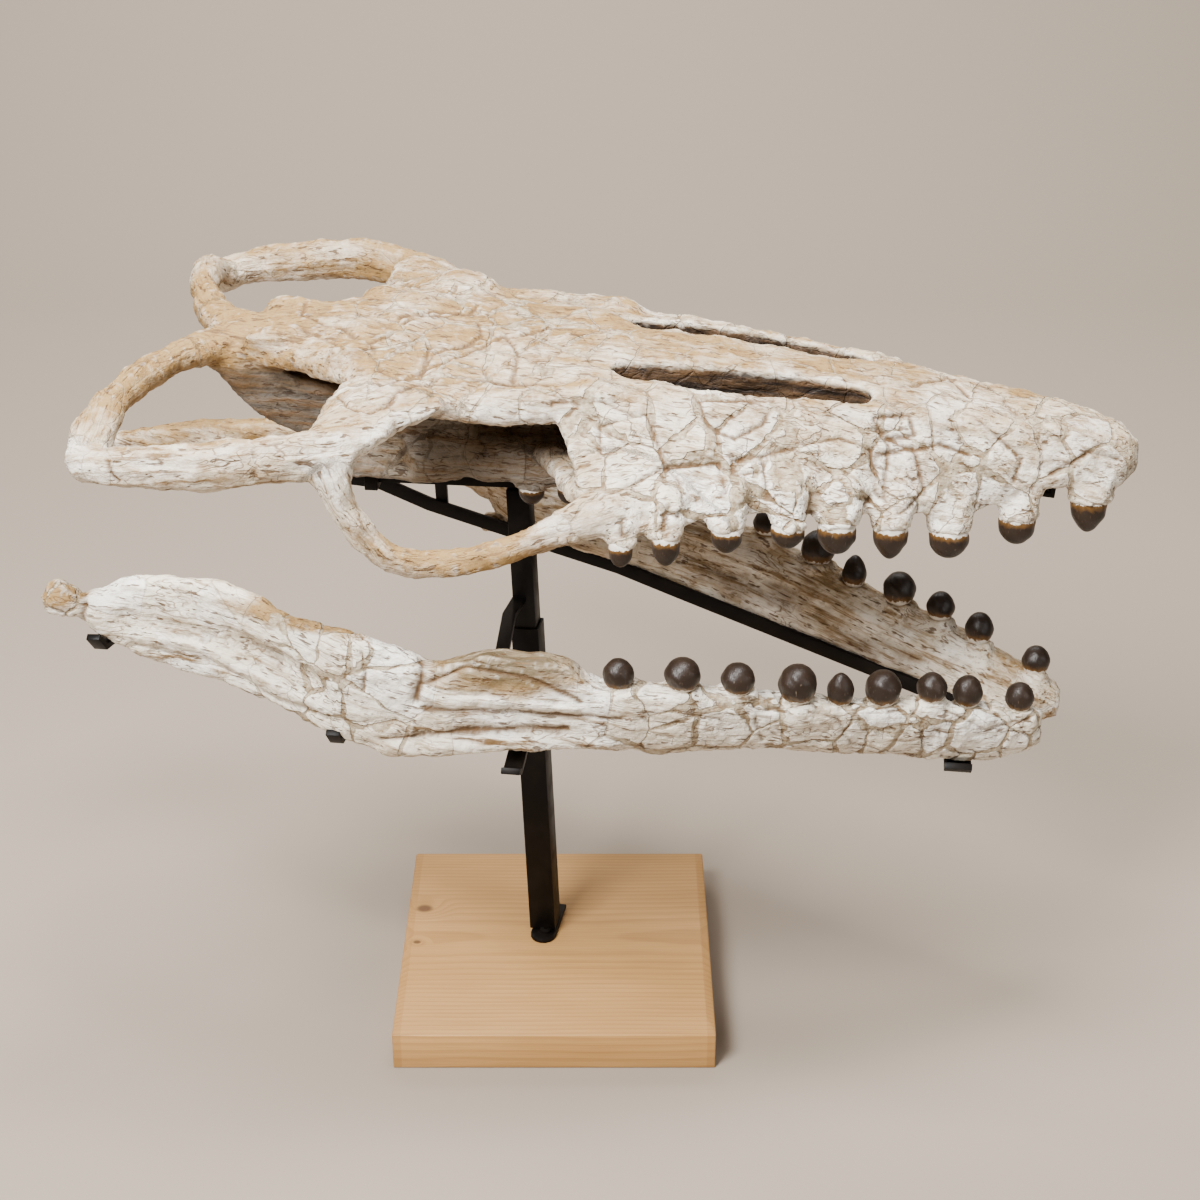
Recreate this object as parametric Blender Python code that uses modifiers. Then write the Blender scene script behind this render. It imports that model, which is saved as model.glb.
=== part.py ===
"""Fossil mosasaur skull on a steel stand with a wooden base, in metres, +Z up.

The origin is the middle of the base's underside. +X is the way the snout points,
near enough, and -Y is the side that the skull shows. "Right" is the -Y side.
Bones are drawn in a skull frame: x along the skull from the post to the snout,
y out from the middle to one side, z up from the table.
"""
import math

import bmesh
import bpy
from mathutils import Matrix, Vector

GAP = 0.0003
POST_PLACE = (-0.010, 0.018)
SKULL_YAW = math.radians(-6.0)
JAW_YAW = math.radians(-8.0)

BASE_WIDTH = 0.300
BASE_TOP = 0.0403
BASE_EDGE = 0.0382
BASE_BEVEL_SIDES = 0.008
BASE_BEVEL_ENDS = 0.024

FOOT_WIDTH = 0.025
FOOT_LENGTH = 0.064
FOOT_THICKNESS = 0.004
FOOT_BEHIND = 0.0295
FOOT_ARC_STEPS = 8
POST_SKEW = 0.0006
LOWER_TUBE = 0.0255
UPPER_TUBE = 0.0205
POST_LEAN = math.radians(-2.2)
POST_YAW = math.radians(-11.0)
SLEEVE_TOP = 0.3795
SLEEVE_POCKET = 0.060
POST_TOP = 0.5175
RAIL_BOTTOM = 0.5180
RAIL_TOP = 0.5345
RAIL_WIDTH = 0.012
STRAP_HEIGHT = 0.014
STRAP_THICKNESS = 0.005
HOOK_WIDTH = 0.012
HOOK_THICKNESS = 0.0055
HOOK_OUT = 0.0045
CLAMP_X = -0.152

CROWN_STEPS = 8
SEAT_SHARE = 0.62
TOOTH_SPLAY = math.radians(8.0)

VOXEL = 0.0036
SOFTEN_PASSES = 5
SKULL_FACES = 3150
NEAR_JAW_FACES = 1150
FAR_JAW_FACES = 950
CRUSH = math.radians(2.7)


def start_clean():
    for old in list(bpy.data.objects):
        bpy.data.objects.remove(old, do_unlink=True)


def new_collection(name):
    group = bpy.data.collections.new(name)
    bpy.context.scene.collection.children.link(group)
    return group


def finish_of(name, colour, roughness, metallic=0.0):
    material = bpy.data.materials.new(name)
    material.use_nodes = True
    shader = material.node_tree.nodes["Principled BSDF"]
    shader.inputs["Base Color"].default_value = (*colour, 1.0)
    shader.inputs["Roughness"].default_value = roughness
    shader.inputs["Metallic"].default_value = metallic
    return material


def add_object(name, mesh, group, material=None, parent=None):
    thing = bpy.data.objects.new(name, mesh)
    group.objects.link(thing)
    if material:
        mesh.materials.append(material)
    if parent:
        thing.parent = parent
    return thing


def add_frame(name, yaw, group):
    empty = bpy.data.objects.new(name, None)
    empty.location = (*POST_PLACE, 0.0)
    empty.rotation_euler = (0.0, 0.0, yaw)
    group.objects.link(empty)
    return empty


def hide_cutter(thing):
    thing.hide_render = True
    thing.display_type = "WIRE"
    return thing


def mesh_from(bm, name):
    bmesh.ops.recalc_face_normals(bm, faces=bm.faces[:])
    mesh = bpy.data.meshes.new(name)
    bm.to_mesh(mesh)
    bm.free()
    return mesh


def loft(bm, rings):
    """A closed skin through rings of equal point counts, with flat ends."""
    rows = [[bm.verts.new(point) for point in ring] for ring in rings]
    count = len(rows[0])
    for row, following in zip(rows, rows[1:]):
        for i in range(count):
            j = (i + 1) % count
            bm.faces.new((row[i], row[j], following[j], following[i]))
    bm.faces.new(rows[0])
    bm.faces.new(rows[-1][::-1])


def mirror_ring(ring):
    return [(x, -y, z) for x, y, z in ring]


def both_sides(bm, rings):
    loft(bm, rings)
    loft(bm, [mirror_ring(ring) for ring in rings])


def limb_rings(path, upright=True, sides=10):
    """Oval rings square to a path of (x, y, z, width, height) points.

    The width lies level where the bar is upright, and otherwise out to the side.
    """
    centres = [Vector(point[:3]) for point in path]
    rings = []
    for i, point in enumerate(path):
        ahead = (centres[min(i + 1, len(path) - 1)] - centres[max(i - 1, 0)]).normalized()
        if upright:
            across = ahead.cross(Vector((0.0, 0.0, 1.0))).normalized()
        else:
            sideways = Vector((0.0, 1.0, 0.0))
            across = (sideways - ahead * sideways.dot(ahead)).normalized()
        up = across.cross(ahead).normalized()
        ring = []
        for k in range(sides):
            turn = 2.0 * math.pi * k / sides
            side_step = across * math.cos(turn) * point[3] / 2.0
            up_step = up * math.sin(turn) * point[4] / 2.0
            ring.append(tuple(centres[i] + side_step + up_step))
        rings.append(ring)
    return rings


def slab_rings(outline, inner, outer):
    """Two rings of an (x, z) outline, at the side distances inner and outer."""
    return [[(x, inner, z) for x, z in outline], [(x, outer, z) for x, z in outline]]


def pedestal(bm, x, y, root, width, rings, down):
    """The bone column that a tooth stands on, running from its root into the jaw."""
    sections = []
    side = math.copysign(1.0, y)
    for rise, share, inset in rings:
        radius = width / 2.0 * share
        z = root + rise if down else root - rise
        turns = [2.0 * math.pi * k / 12 for k in range(12)]
        middle = y - side * inset
        sections.append([(x + radius * math.cos(turn), middle + radius * math.sin(turn), z)
                         for turn in turns])
    loft(bm, sections)


def lump(bm, centre, size, segments=10, tilt=0.0, turn=0.0):
    """A closed ellipsoid, for a boss, a hollow or a broken knob."""
    spin = Matrix.Rotation(turn, 4, "Z") @ Matrix.Rotation(tilt, 4, "Y")
    place = Matrix.Translation(centre) @ spin @ Matrix.Diagonal((*size, 1.0))
    bmesh.ops.create_uvsphere(bm, u_segments=segments, v_segments=6, radius=0.5, matrix=place)


def settle(thing):
    """Keeps the shape that the modifiers have made so far as the plain mesh."""
    evaluated = thing.evaluated_get(bpy.context.evaluated_depsgraph_get())
    mesh = bpy.data.meshes.new_from_object(evaluated)
    thing.modifiers.clear()
    thing.data = mesh
    return len(mesh.loop_triangles) or sum(len(face.vertices) - 2 for face in mesh.polygons)


def fuse(thing, faces, cutters=None):
    """Melts overlapping lofts into one rounded bone and thins its faces."""
    melt = thing.modifiers.new("melt", "REMESH")
    melt.mode = "VOXEL"
    melt.voxel_size = VOXEL
    if cutters:
        cut = thing.modifiers.new("hollows", "BOOLEAN")
        cut.operand_type = "COLLECTION"
        cut.collection = cutters
        cut.solver = "EXACT"
        again = thing.modifiers.new("melt_again", "REMESH")
        again.mode = "VOXEL"
        again.voxel_size = VOXEL
    soften = thing.modifiers.new("soften", "SMOOTH")
    soften.factor = 0.5
    soften.iterations = SOFTEN_PASSES
    total = settle(thing)
    thin = thing.modifiers.new("thin", "DECIMATE")
    thin.ratio = faces / total
    settle(thing)


def cut_with(thing, cutters):
    cut = thing.modifiers.new("seats", "BOOLEAN")
    cut.operand_type = "COLLECTION"
    cut.collection = cutters
    cut.solver = "EXACT"


# The rostrum: x, roof height on the middle line, shoulder (y, z), gum edge (y, z).
ROSTRUM = [
    (0.517, 0.584, 0.010, 0.580, 0.012, 0.562),
    (0.504, 0.597, 0.022, 0.589, 0.027, 0.552),
    (0.475, 0.609, 0.031, 0.599, 0.038, 0.556),
    (0.440, 0.615, 0.037, 0.605, 0.049, 0.556),
    (0.415, 0.619, 0.042, 0.609, 0.058, 0.550),
    (0.370, 0.626, 0.050, 0.617, 0.076, 0.544),
    (0.320, 0.634, 0.060, 0.626, 0.097, 0.549),
    (0.270, 0.641, 0.070, 0.633, 0.117, 0.556),
    (0.220, 0.647, 0.081, 0.639, 0.137, 0.563),
    (0.170, 0.652, 0.092, 0.643, 0.156, 0.566),
    (0.120, 0.657, 0.102, 0.647, 0.174, 0.562),
    (0.090, 0.659, 0.110, 0.648, 0.184, 0.556),
    (0.060, 0.661, 0.119, 0.647, 0.182, 0.560, 0.054),
]
GUM_WIDTH = 0.024
PALATE_RISE = 0.027


def rostrum_ring(x, roof, shoulder_y, shoulder_z, gum_y, gum_z, slant=0.0):
    """One section of the rostrum; a slant draws its upper part back toward the orbit."""
    inner = max(gum_y - GUM_WIDTH, 0.35 * gum_y)
    rise = min(PALATE_RISE, 0.9 * gum_y)
    half = [
        (0.0, roof),
        (0.50 * shoulder_y, roof - 0.15 * (roof - shoulder_z)),
        (shoulder_y, shoulder_z),
        (0.60 * shoulder_y + 0.40 * gum_y + 0.004, 0.62 * shoulder_z + 0.38 * gum_z),
        (0.25 * shoulder_y + 0.75 * gum_y + 0.004, 0.28 * shoulder_z + 0.72 * gum_z),
        (gum_y, gum_z),
        (inner, gum_z + 0.002),
        (0.80 * inner, gum_z + 0.7 * rise),
        (0.0, gum_z + rise),
    ]
    ring = []
    for y, z in half:
        rise_share = max(z - gum_z, 0.0) / (roof - gum_z)
        ring.append((x - slant * rise_share ** 2, y, z))
    return ring + [(back, -y, z) for back, y, z in ring[-2:0:-1]]


# The flat skull roof: x, roof height in the middle, edge (y, z), thickness.
ROOF = [
    (0.110, 0.657, 0.100, 0.644, 0.030),
    (0.060, 0.662, 0.119, 0.647, 0.026),
    (0.010, 0.663, 0.131, 0.644, 0.022),
    (-0.045, 0.665, 0.134, 0.646, 0.022),
    (-0.085, 0.670, 0.128, 0.653, 0.022),
    (-0.120, 0.674, 0.118, 0.656, 0.024),
    (-0.150, 0.675, 0.090, 0.658, 0.028),
    (-0.180, 0.674, 0.068, 0.656, 0.028),
    (-0.215, 0.671, 0.050, 0.655, 0.028),
    (-0.250, 0.667, 0.038, 0.653, 0.030),
    (-0.285, 0.660, 0.034, 0.648, 0.028),
]


def roof_ring(x, middle, edge_y, edge_z, thick):
    half = [
        (0.0, middle),
        (0.45 * edge_y, middle - 0.12 * (middle - edge_z)),
        (0.85 * edge_y, 0.4 * middle + 0.6 * edge_z),
        (edge_y, edge_z - 0.003),
        (0.96 * edge_y, edge_z - 0.014),
        (0.60 * edge_y, edge_z - 0.6 * thick),
        (0.0, middle - thick),
    ]
    ring = [(x, y, z) for y, z in half]
    return ring + [(x, -y, z) for _, y, z in ring[-2:0:-1]]


# Bars of the skull as (x, y, z, width, height) from end to end.
POSTORBITAL = [
    (-0.084, 0.072, 0.651, 0.120, 0.020),
    (-0.110, 0.122, 0.651, 0.098, 0.026),
    (-0.129, 0.162, 0.647, 0.070, 0.028),
    (-0.142, 0.195, 0.640, 0.052, 0.036),
]
TEMPORAL_ARCH = [
    (-0.126, 0.190, 0.634, 0.030, 0.040),
    (-0.160, 0.209, 0.638, 0.028, 0.043),
    (-0.200, 0.223, 0.640, 0.028, 0.042),
    (-0.240, 0.228, 0.635, 0.028, 0.043),
    (-0.280, 0.226, 0.633, 0.028, 0.038),
    (-0.318, 0.219, 0.628, 0.030, 0.033),
    (-0.346, 0.204, 0.622, 0.032, 0.032),
]
SUSPENSORIUM = [
    (-0.244, 0.000, 0.654, 0.048, 0.028),
    (-0.278, 0.022, 0.652, 0.042, 0.028),
    (-0.304, 0.052, 0.652, 0.032, 0.028),
    (-0.325, 0.105, 0.652, 0.027, 0.028),
    (-0.336, 0.155, 0.648, 0.029, 0.028),
    (-0.341, 0.186, 0.637, 0.038, 0.030),
    (-0.339, 0.207, 0.624, 0.040, 0.030),
]
JUGAL = [
    (-0.138, 0.203, 0.640, 0.028, 0.034),
    (-0.140, 0.206, 0.616, 0.024, 0.031),
    (-0.132, 0.205, 0.592, 0.022, 0.027),
    (-0.117, 0.202, 0.568, 0.022, 0.025),
    (-0.098, 0.199, 0.548, 0.022, 0.025),
    (-0.074, 0.196, 0.540, 0.022, 0.026),
    (-0.034, 0.190, 0.543, 0.022, 0.025),
    (0.011, 0.184, 0.554, 0.022, 0.026),
    (0.050, 0.177, 0.569, 0.025, 0.034),
    (0.086, 0.174, 0.576, 0.026, 0.038),
]
PTERYGOID = [
    (-0.110, 0.030, 0.557, 0.030, 0.040),
    (-0.060, 0.031, 0.560, 0.034, 0.044),
    (-0.010, 0.034, 0.561, 0.038, 0.044),
    (0.035, 0.038, 0.562, 0.040, 0.044),
    (0.080, 0.044, 0.568, 0.040, 0.038),
    (0.130, 0.050, 0.578, 0.040, 0.034),
]
PALATE_BRIDGE = [
    (0.012, 0.050, 0.575, 0.030, 0.022),
    (0.035, 0.095, 0.580, 0.030, 0.020),
    (0.060, 0.150, 0.580, 0.034, 0.022),
]
# The braincase seen from the side, as (x, z), hung below the roof's middle.
BRAINCASE = [
    (-0.284, 0.644), (-0.268, 0.612), (-0.246, 0.591), (-0.226, 0.580), (-0.207, 0.573),
    (-0.188, 0.554), (-0.174, 0.533), (-0.120, 0.532), (-0.068, 0.533), (-0.052, 0.560),
    (-0.055, 0.600), (-0.060, 0.652), (-0.140, 0.656), (-0.168, 0.620), (-0.200, 0.622),
    (-0.221, 0.632), (-0.240, 0.656),
]
SEPTUM = [(-0.075, 0.575), (0.085, 0.580), (0.085, 0.640), (-0.075, 0.652)]
SEPTUM_HALF = 0.022
BRAINCASE_HALF = 0.032
# One narial slot from above, as (x, y), and how deep it goes.
NARIS = [
    (0.064, 0.060), (0.085, 0.071), (0.144, 0.078), (0.210, 0.070), (0.280, 0.056),
    (0.290, 0.043), (0.282, 0.031), (0.240, 0.030), (0.175, 0.034), (0.105, 0.041),
    (0.074, 0.049),
]
NARIS_FLOOR = 0.595
NARIS_CUTTER_TOP = 0.70
# The pineal opening in the roof: its middle and its size.
FORAMEN = ((-0.153, 0.0, 0.674), (0.018, 0.012, 0.024))

# Upper teeth: x, y, tip height, width, crown height, and how pointed each is.
UPPER_TEETH = [
    (0.476, 0.032, 0.514, 0.0350, 0.0280, 0.85),
    (0.415, 0.052, 0.509, 0.0340, 0.0230, 0.10),
    (0.357, 0.077, 0.505, 0.0368, 0.0230, 0.15),
    (0.307, 0.101, 0.513, 0.0335, 0.0265, 0.90),
    (0.262, 0.121, 0.525, 0.0352, 0.0240, 0.15),
    (0.222, 0.140, 0.537, 0.0300, 0.0170, 0.20),
    (0.173, 0.159, 0.539, 0.0288, 0.0185, 0.55),
    (0.125, 0.177, 0.534, 0.0255, 0.0220, 0.45),
    (0.089, 0.184, 0.534, 0.0215, 0.0170, 0.30),
]
# A pedestal's rings: height above the crown's root, width beside the crown's, inset.
PEDESTAL = [(-0.0060, 1.08, 0.000), (0.0020, 1.12, 0.000), (0.0090, 1.02, 0.001),
            (0.0170, 1.10, 0.006), (0.0290, 1.20, 0.014), (0.0400, 0.90, 0.022)]
LOWER_PEDESTAL = [(-0.0060, 0.90, 0.000), (0.0000, 0.98, 0.000), (0.0120, 1.10, 0.002),
                  (0.0260, 1.00, 0.006)]
# Swellings and ridges of the roof and palate: middle, size, turn about the upright.
SKULL_LUMPS = [
    ((-0.085, 0.108, 0.660), (0.062, 0.050, 0.032), 0.0),
    ((-0.040, -0.034, 0.556), (0.050, 0.030, 0.040), 0.0),
    ((-0.030, 0.040, 0.590), (0.060, 0.040, 0.030), 0.0),
    ((-0.012, -0.116, 0.647), (0.110, 0.030, 0.024), 0.1),
    ((-0.012, 0.116, 0.647), (0.110, 0.030, 0.022), -0.1),
    ((0.052, -0.104, 0.650), (0.080, 0.036, 0.024), 0.3),
    ((0.052, 0.104, 0.650), (0.080, 0.036, 0.022), -0.3),
    ((-0.128, -0.052, 0.668), (0.090, 0.026, 0.018), 0.5),
    ((-0.128, 0.052, 0.668), (0.090, 0.026, 0.018), -0.5),
    ((-0.215, -0.030, 0.664), (0.080, 0.022, 0.022), 0.25),
    ((-0.215, 0.030, 0.664), (0.080, 0.022, 0.022), -0.25),
    ((-0.120, 0.000, 0.670), (0.050, 0.036, 0.018), 0.0),
]
PTERYGOID_TEETH = [
    (-0.003, 0.038, 0.519, 0.0240, 0.0150, 0.20),
    (0.030, 0.040, 0.522, 0.0220, 0.0150, 0.20),
]
# Lower teeth: x, y, height of the crown's middle, width, crown height, pointedness.
LOWER_TEETH = [
    (0.434, 0.033, 0.3580, 0.0270, 0.0240, 0.30),
    (0.387, 0.059, 0.3745, 0.0275, 0.0270, 0.20),
    (0.355, 0.080, 0.3875, 0.0280, 0.0245, 0.35),
    (0.313, 0.097, 0.3935, 0.0325, 0.0285, 0.10),
    (0.277, 0.116, 0.4000, 0.0250, 0.0290, 0.75),
    (0.241, 0.135, 0.4130, 0.0340, 0.0315, 0.05),
    (0.192, 0.157, 0.4260, 0.0300, 0.0240, 0.15),
    (0.147, 0.174, 0.4360, 0.0315, 0.0250, 0.05),
    (0.095, 0.187, 0.4395, 0.0275, 0.0240, 0.25),
]
# How far each tooth of the left jaw stands ahead of its fellow, and above it.
LEFT_TEETH_SHIFT = [
    (0.017, 0.001), (0.012, 0.000), (0.008, -0.003), (0.011, -0.002), (0.004, -0.003),
    (0.004, -0.003), (0.003, -0.002), (0.000, -0.001), (0.000, -0.001),
]

# A lower jaw from the chin back: x, y, half thickness, bottom, top, lean.
# The lean is how far the lower edge lies inboard of the tooth row.
NEAR_DENTARY = [
    (0.456, 0.026, 0.009, 0.306, 0.340, 0.004),
    (0.444, 0.033, 0.015, 0.297, 0.344, 0.008),
    (0.410, 0.053, 0.018, 0.293, 0.356, 0.015),
    (0.368, 0.077, 0.020, 0.303, 0.369, 0.022),
    (0.312, 0.104, 0.021, 0.321, 0.380, 0.023),
    (0.242, 0.136, 0.022, 0.337, 0.398, 0.024),
    (0.192, 0.157, 0.022, 0.346, 0.411, 0.024),
    (0.114, 0.186, 0.022, 0.354, 0.427, 0.022),
    (0.078, 0.192, 0.021, 0.358, 0.430, 0.019),
    (0.058, 0.195, 0.020, 0.361, 0.450, 0.015),
    (0.032, 0.199, 0.019, 0.362, 0.458, 0.013),
    (-0.015, 0.205, 0.018, 0.363, 0.461, 0.010),
    (-0.052, 0.211, 0.016, 0.362, 0.449, 0.006),
    (-0.085, 0.216, 0.015, 0.364, 0.455, 0.000),
]
FAR_DENTARY = [
    (0.475, 0.028, 0.010, 0.306, 0.334, 0.004),
    (0.460, 0.036, 0.016, 0.298, 0.342, 0.008),
    (0.420, 0.055, 0.018, 0.292, 0.352, 0.016),
    (0.368, 0.079, 0.019, 0.302, 0.368, 0.028),
    (0.312, 0.106, 0.020, 0.314, 0.378, 0.033),
    (0.242, 0.137, 0.021, 0.327, 0.396, 0.036),
    (0.192, 0.158, 0.021, 0.337, 0.410, 0.034),
    (0.114, 0.186, 0.021, 0.350, 0.425, 0.027),
    (0.060, 0.195, 0.020, 0.360, 0.432, 0.022),
    (0.000, 0.203, 0.019, 0.370, 0.446, 0.018),
    (-0.052, 0.211, 0.016, 0.380, 0.449, 0.010),
    (-0.085, 0.216, 0.015, 0.390, 0.455, 0.000),
]
NEAR_REAR = [
    (-0.040, 0.210, 0.013, 0.385, 0.440),
    (-0.075, 0.215, 0.015, 0.372, 0.461),
    (-0.105, 0.219, 0.016, 0.368, 0.475),
    (-0.128, 0.219, 0.016, 0.374, 0.481),
    (-0.156, 0.214, 0.014, 0.383, 0.481),
    (-0.186, 0.206, 0.013, 0.393, 0.486),
    (-0.203, 0.198, 0.013, 0.396, 0.495),
    (-0.235, 0.187, 0.012, 0.398, 0.499),
    (-0.268, 0.181, 0.012, 0.405, 0.499),
    (-0.300, 0.179, 0.013, 0.412, 0.497),
    (-0.322, 0.180, 0.016, 0.425, 0.496),
    (-0.342, 0.184, 0.016, 0.436, 0.486),
    (-0.356, 0.187, 0.014, 0.446, 0.484),
    (-0.364, 0.189, 0.009, 0.456, 0.478),
]
NEAR_KNOB = ((-0.380, 0.190, 0.474), (0.035, 0.030, 0.034))
# The hollow in the outer face, with its tilt about the side-to-side axis.
NEAR_FOSSA = ((-0.240, 0.236, 0.455), (0.220, 0.084, 0.050))
FOSSA_TILT = math.radians(17.0)
FAR_REAR = [
    (-0.040, 0.214, 0.013, 0.392, 0.444),
    (-0.075, 0.219, 0.015, 0.394, 0.462),
    (-0.110, 0.222, 0.015, 0.412, 0.475),
    (-0.150, 0.218, 0.014, 0.424, 0.484),
    (-0.200, 0.208, 0.013, 0.428, 0.489),
    (-0.255, 0.200, 0.013, 0.432, 0.492),
    (-0.300, 0.196, 0.013, 0.436, 0.489),
    (-0.345, 0.193, 0.014, 0.438, 0.485),
    (-0.385, 0.191, 0.014, 0.440, 0.480),
    (-0.435, 0.189, 0.013, 0.442, 0.474),
    (-0.466, 0.188, 0.010, 0.446, 0.464),
]
SPLENIAL = [
    (-0.100, 0.221, 0.376, 0.028, 0.020),
    (-0.060, 0.218, 0.376, 0.026, 0.018),
    (0.000, 0.208, 0.378, 0.024, 0.018),
    (0.090, 0.190, 0.377, 0.022, 0.016),
]

# Steel, as paths through the middle of the bar.
SKULL_RAIL_ENDS = (-0.180, 0.004)
PALATE_RAIL = [
    (0.0043, 0.0, 0.541), (0.060, 0.0, 0.545), (0.160, 0.0, 0.556), (0.300, 0.0, 0.549),
    (0.4475, 0.0, 0.5335), (0.4515, 0.0, 0.5860),
]
NEAR_RAIL = [
    (0.392, -0.024, 0.306), (0.368, -0.036, 0.317), (0.242, -0.093, 0.350),
    (0.114, -0.144, 0.369), (0.000, -0.168, 0.380), (-0.100, -0.190, 0.392),
    (-0.200, -0.182, 0.410), (-0.290, -0.162, 0.436), (-0.352, -0.164, 0.454),
]
FAR_RAIL = [
    (0.386, 0.032, 0.304), (0.371, 0.040, 0.309), (0.233, 0.094, 0.331), (0.110, 0.143, 0.350),
    (0.048, 0.166, 0.361), (-0.020, 0.186, 0.370), (-0.072, 0.200, 0.379),
    (-0.151, 0.210, 0.397), (-0.204, 0.208, 0.420), (-0.318, 0.192, 0.436),
]
# Arms run from the post to the rail at the given x, their width turned along the jaw.
NEAR_ARM = [(-0.0190, 0.000, 0.4090), (-0.0240, -0.040, 0.4070), (-0.0190, -0.100, 0.4040)]
NEAR_ARM_END = -0.0140
FAR_ARM = [(-0.0190, 0.002, 0.3600), (-0.0300, 0.060, 0.3600), (-0.0380, 0.130, 0.3640)]
FAR_ARM_END = -0.0460
# Each hook: where it starts along its rail, how far above the rail's middle, its width,
# and its path round to the outside of the bone.
NEAR_HOOKS = [
    ("hook_right_rear", -0.346, -0.003, HOOK_WIDTH,
     [(-0.346, -0.164, 0.430), (-0.348, -0.194, 0.434), (-0.350, -0.204, 0.448)]),
    ("hook_right_middle", -0.139, -0.003, HOOK_WIDTH,
     [(-0.139, -0.188, 0.371), (-0.139, -0.220, 0.374), (-0.139, -0.232, 0.388)]),
    ("hook_right_centre", 0.009, -0.003, 0.016,
     [(0.009, -0.180, 0.356), (0.009, -0.212, 0.351), (0.009, -0.224, 0.358)]),
    ("hook_right_front", 0.384, -0.003, 0.024,
     [(0.384, -0.032, 0.292), (0.384, -0.062, 0.294), (0.384, -0.074, 0.304)]),
]
FAR_HOOKS = [
    ("hook_left_rear", -0.308, 0.003, 0.020,
     [(-0.308, 0.222, 0.445), (-0.308, 0.216, 0.492), (-0.308, 0.200, 0.496)]),
    ("hook_left_middle", -0.138, 0.003, HOOK_WIDTH,
     [(-0.138, 0.206, 0.440), (-0.138, 0.250, 0.446)]),
]


def jaw_ring(side, x, y, half, bottom, top, lean=0.0):
    """One section of a jaw: full below, a narrower shelf above."""
    tall = top - bottom
    corners = [
        (0.00, 0.00), (0.62, 0.05), (1.00, 0.28), (1.02, 0.55), (0.86, 0.82), (0.55, 0.98),
        (-0.55, 0.98), (-0.80, 0.80), (-0.90, 0.50), (-0.90, 0.25), (-0.60, 0.05),
    ]
    return [(x, side * (y + half * across - lean * (1.0 - up)), bottom + tall * up)
            for across, up in corners]


def crown(name, group, tooth, down, material, parent):
    """A turned crown, tip up, with its flat root at the object's own origin."""
    width, height, point = tooth
    if down:
        blunt = [(1.00, 0.0), (0.97, 0.34), (0.80, 0.66), (0.46, 0.90)]
        sharp = [(1.00, 0.0), (0.90, 0.28), (0.62, 0.58), (0.28, 0.86)]
    else:
        blunt = [(0.68, 0.0), (0.98, 0.28), (0.95, 0.62), (0.58, 0.90)]
        sharp = [(0.68, 0.0), (1.00, 0.28), (0.80, 0.60), (0.34, 0.88)]
    profile = [(0.0, height)]
    for (blunt_r, up), (sharp_r, _) in zip(reversed(blunt), reversed(sharp)):
        across = (1.0 - point) * blunt_r + point * sharp_r
        profile.append((across * width / 2.0, up * height))
    profile.append((0.0, 0.0))
    bm = bmesh.new()
    verts = [bm.verts.new((across, 0.0, up)) for across, up in profile]
    for upper, lower in zip(verts, verts[1:]):
        bm.edges.new((upper, lower))
    mesh = bpy.data.meshes.new(name)
    bm.to_mesh(mesh)
    bm.free()
    thing = add_object(name, mesh, group, material, parent)
    turn = thing.modifiers.new("turn", "SCREW")
    turn.steps = CROWN_STEPS
    turn.render_steps = CROWN_STEPS
    turn.use_merge_vertices = True
    turn.merge_threshold = 0.0001
    return thing


def seat(name, group, tooth, parent):
    """A drum that cuts the pedestal off flat just under the crown."""
    width, height, _ = tooth
    bm = bmesh.new()
    place = Matrix.Translation((0.0, 0.0, height / 2.0 - GAP))
    radius = SEAT_SHARE * width
    bmesh.ops.create_cone(bm, cap_ends=True, segments=CROWN_STEPS, radius1=radius,
                          radius2=radius, depth=height, matrix=place)
    return hide_cutter(add_object(name, mesh_from(bm, name), group, None, parent))


def add_teeth(label, side_name, side, teeth, down, group, seats, material, parent):
    """Stands each crown on its root point, tip down for the upper teeth."""
    for number, (x, y, root, width, height, point) in enumerate(teeth, start=1):
        name = f"{label}_tooth_{side_name}_{number}"
        shape = (width, height, point)
        for thing in (crown(name, group, shape, down, material, parent),
                      seat(name + "_seat", seats, shape, parent)):
            thing.location = (x, side * y, root)
            thing.rotation_euler = (math.pi + side * TOOTH_SPLAY if down else -side * TOOTH_SPLAY,
                                    0.0, 0.0)


def box(bm, low, high):
    centre = [(a + b) / 2.0 for a, b in zip(low, high)]
    size = [b - a for a, b in zip(low, high)]
    place = Matrix.Translation(centre) @ Matrix.Diagonal((*size, 1.0))
    bmesh.ops.create_cube(bm, size=1.0, matrix=place)


def bar_rings(path, facing, width, thickness, grow=0.0):
    """Rings of a flat bar bent along a path, its width turned toward facing."""
    centres = [Vector(point) for point in path]
    steps = [(after - before).normalized() for before, after in zip(centres, centres[1:])]
    rings = []
    for i, centre in enumerate(centres):
        before = steps[max(i - 1, 0)]
        after = steps[min(i, len(steps) - 1)]
        ahead = (before + after).normalized()
        bend = (after - before).normalized()
        mitre = 1.0 / ahead.dot(after) - 1.0
        side = (Vector(facing) - ahead * ahead.dot(Vector(facing))).normalized()
        up = side.cross(ahead)
        side_step = side * (width / 2.0 + grow) * (1.0 + mitre * abs(side.dot(bend)))
        up_step = up * (thickness / 2.0 + grow) * (1.0 + mitre * abs(up.dot(bend)))
        if i == 0:
            centre = centre - ahead * grow
        if i == len(centres) - 1:
            centre = centre + ahead * grow
        corners = (side_step + up_step, up_step - side_step,
                   -side_step - up_step, side_step - up_step)
        rings.append([tuple(centre + corner) for corner in corners])
    return rings


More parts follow.
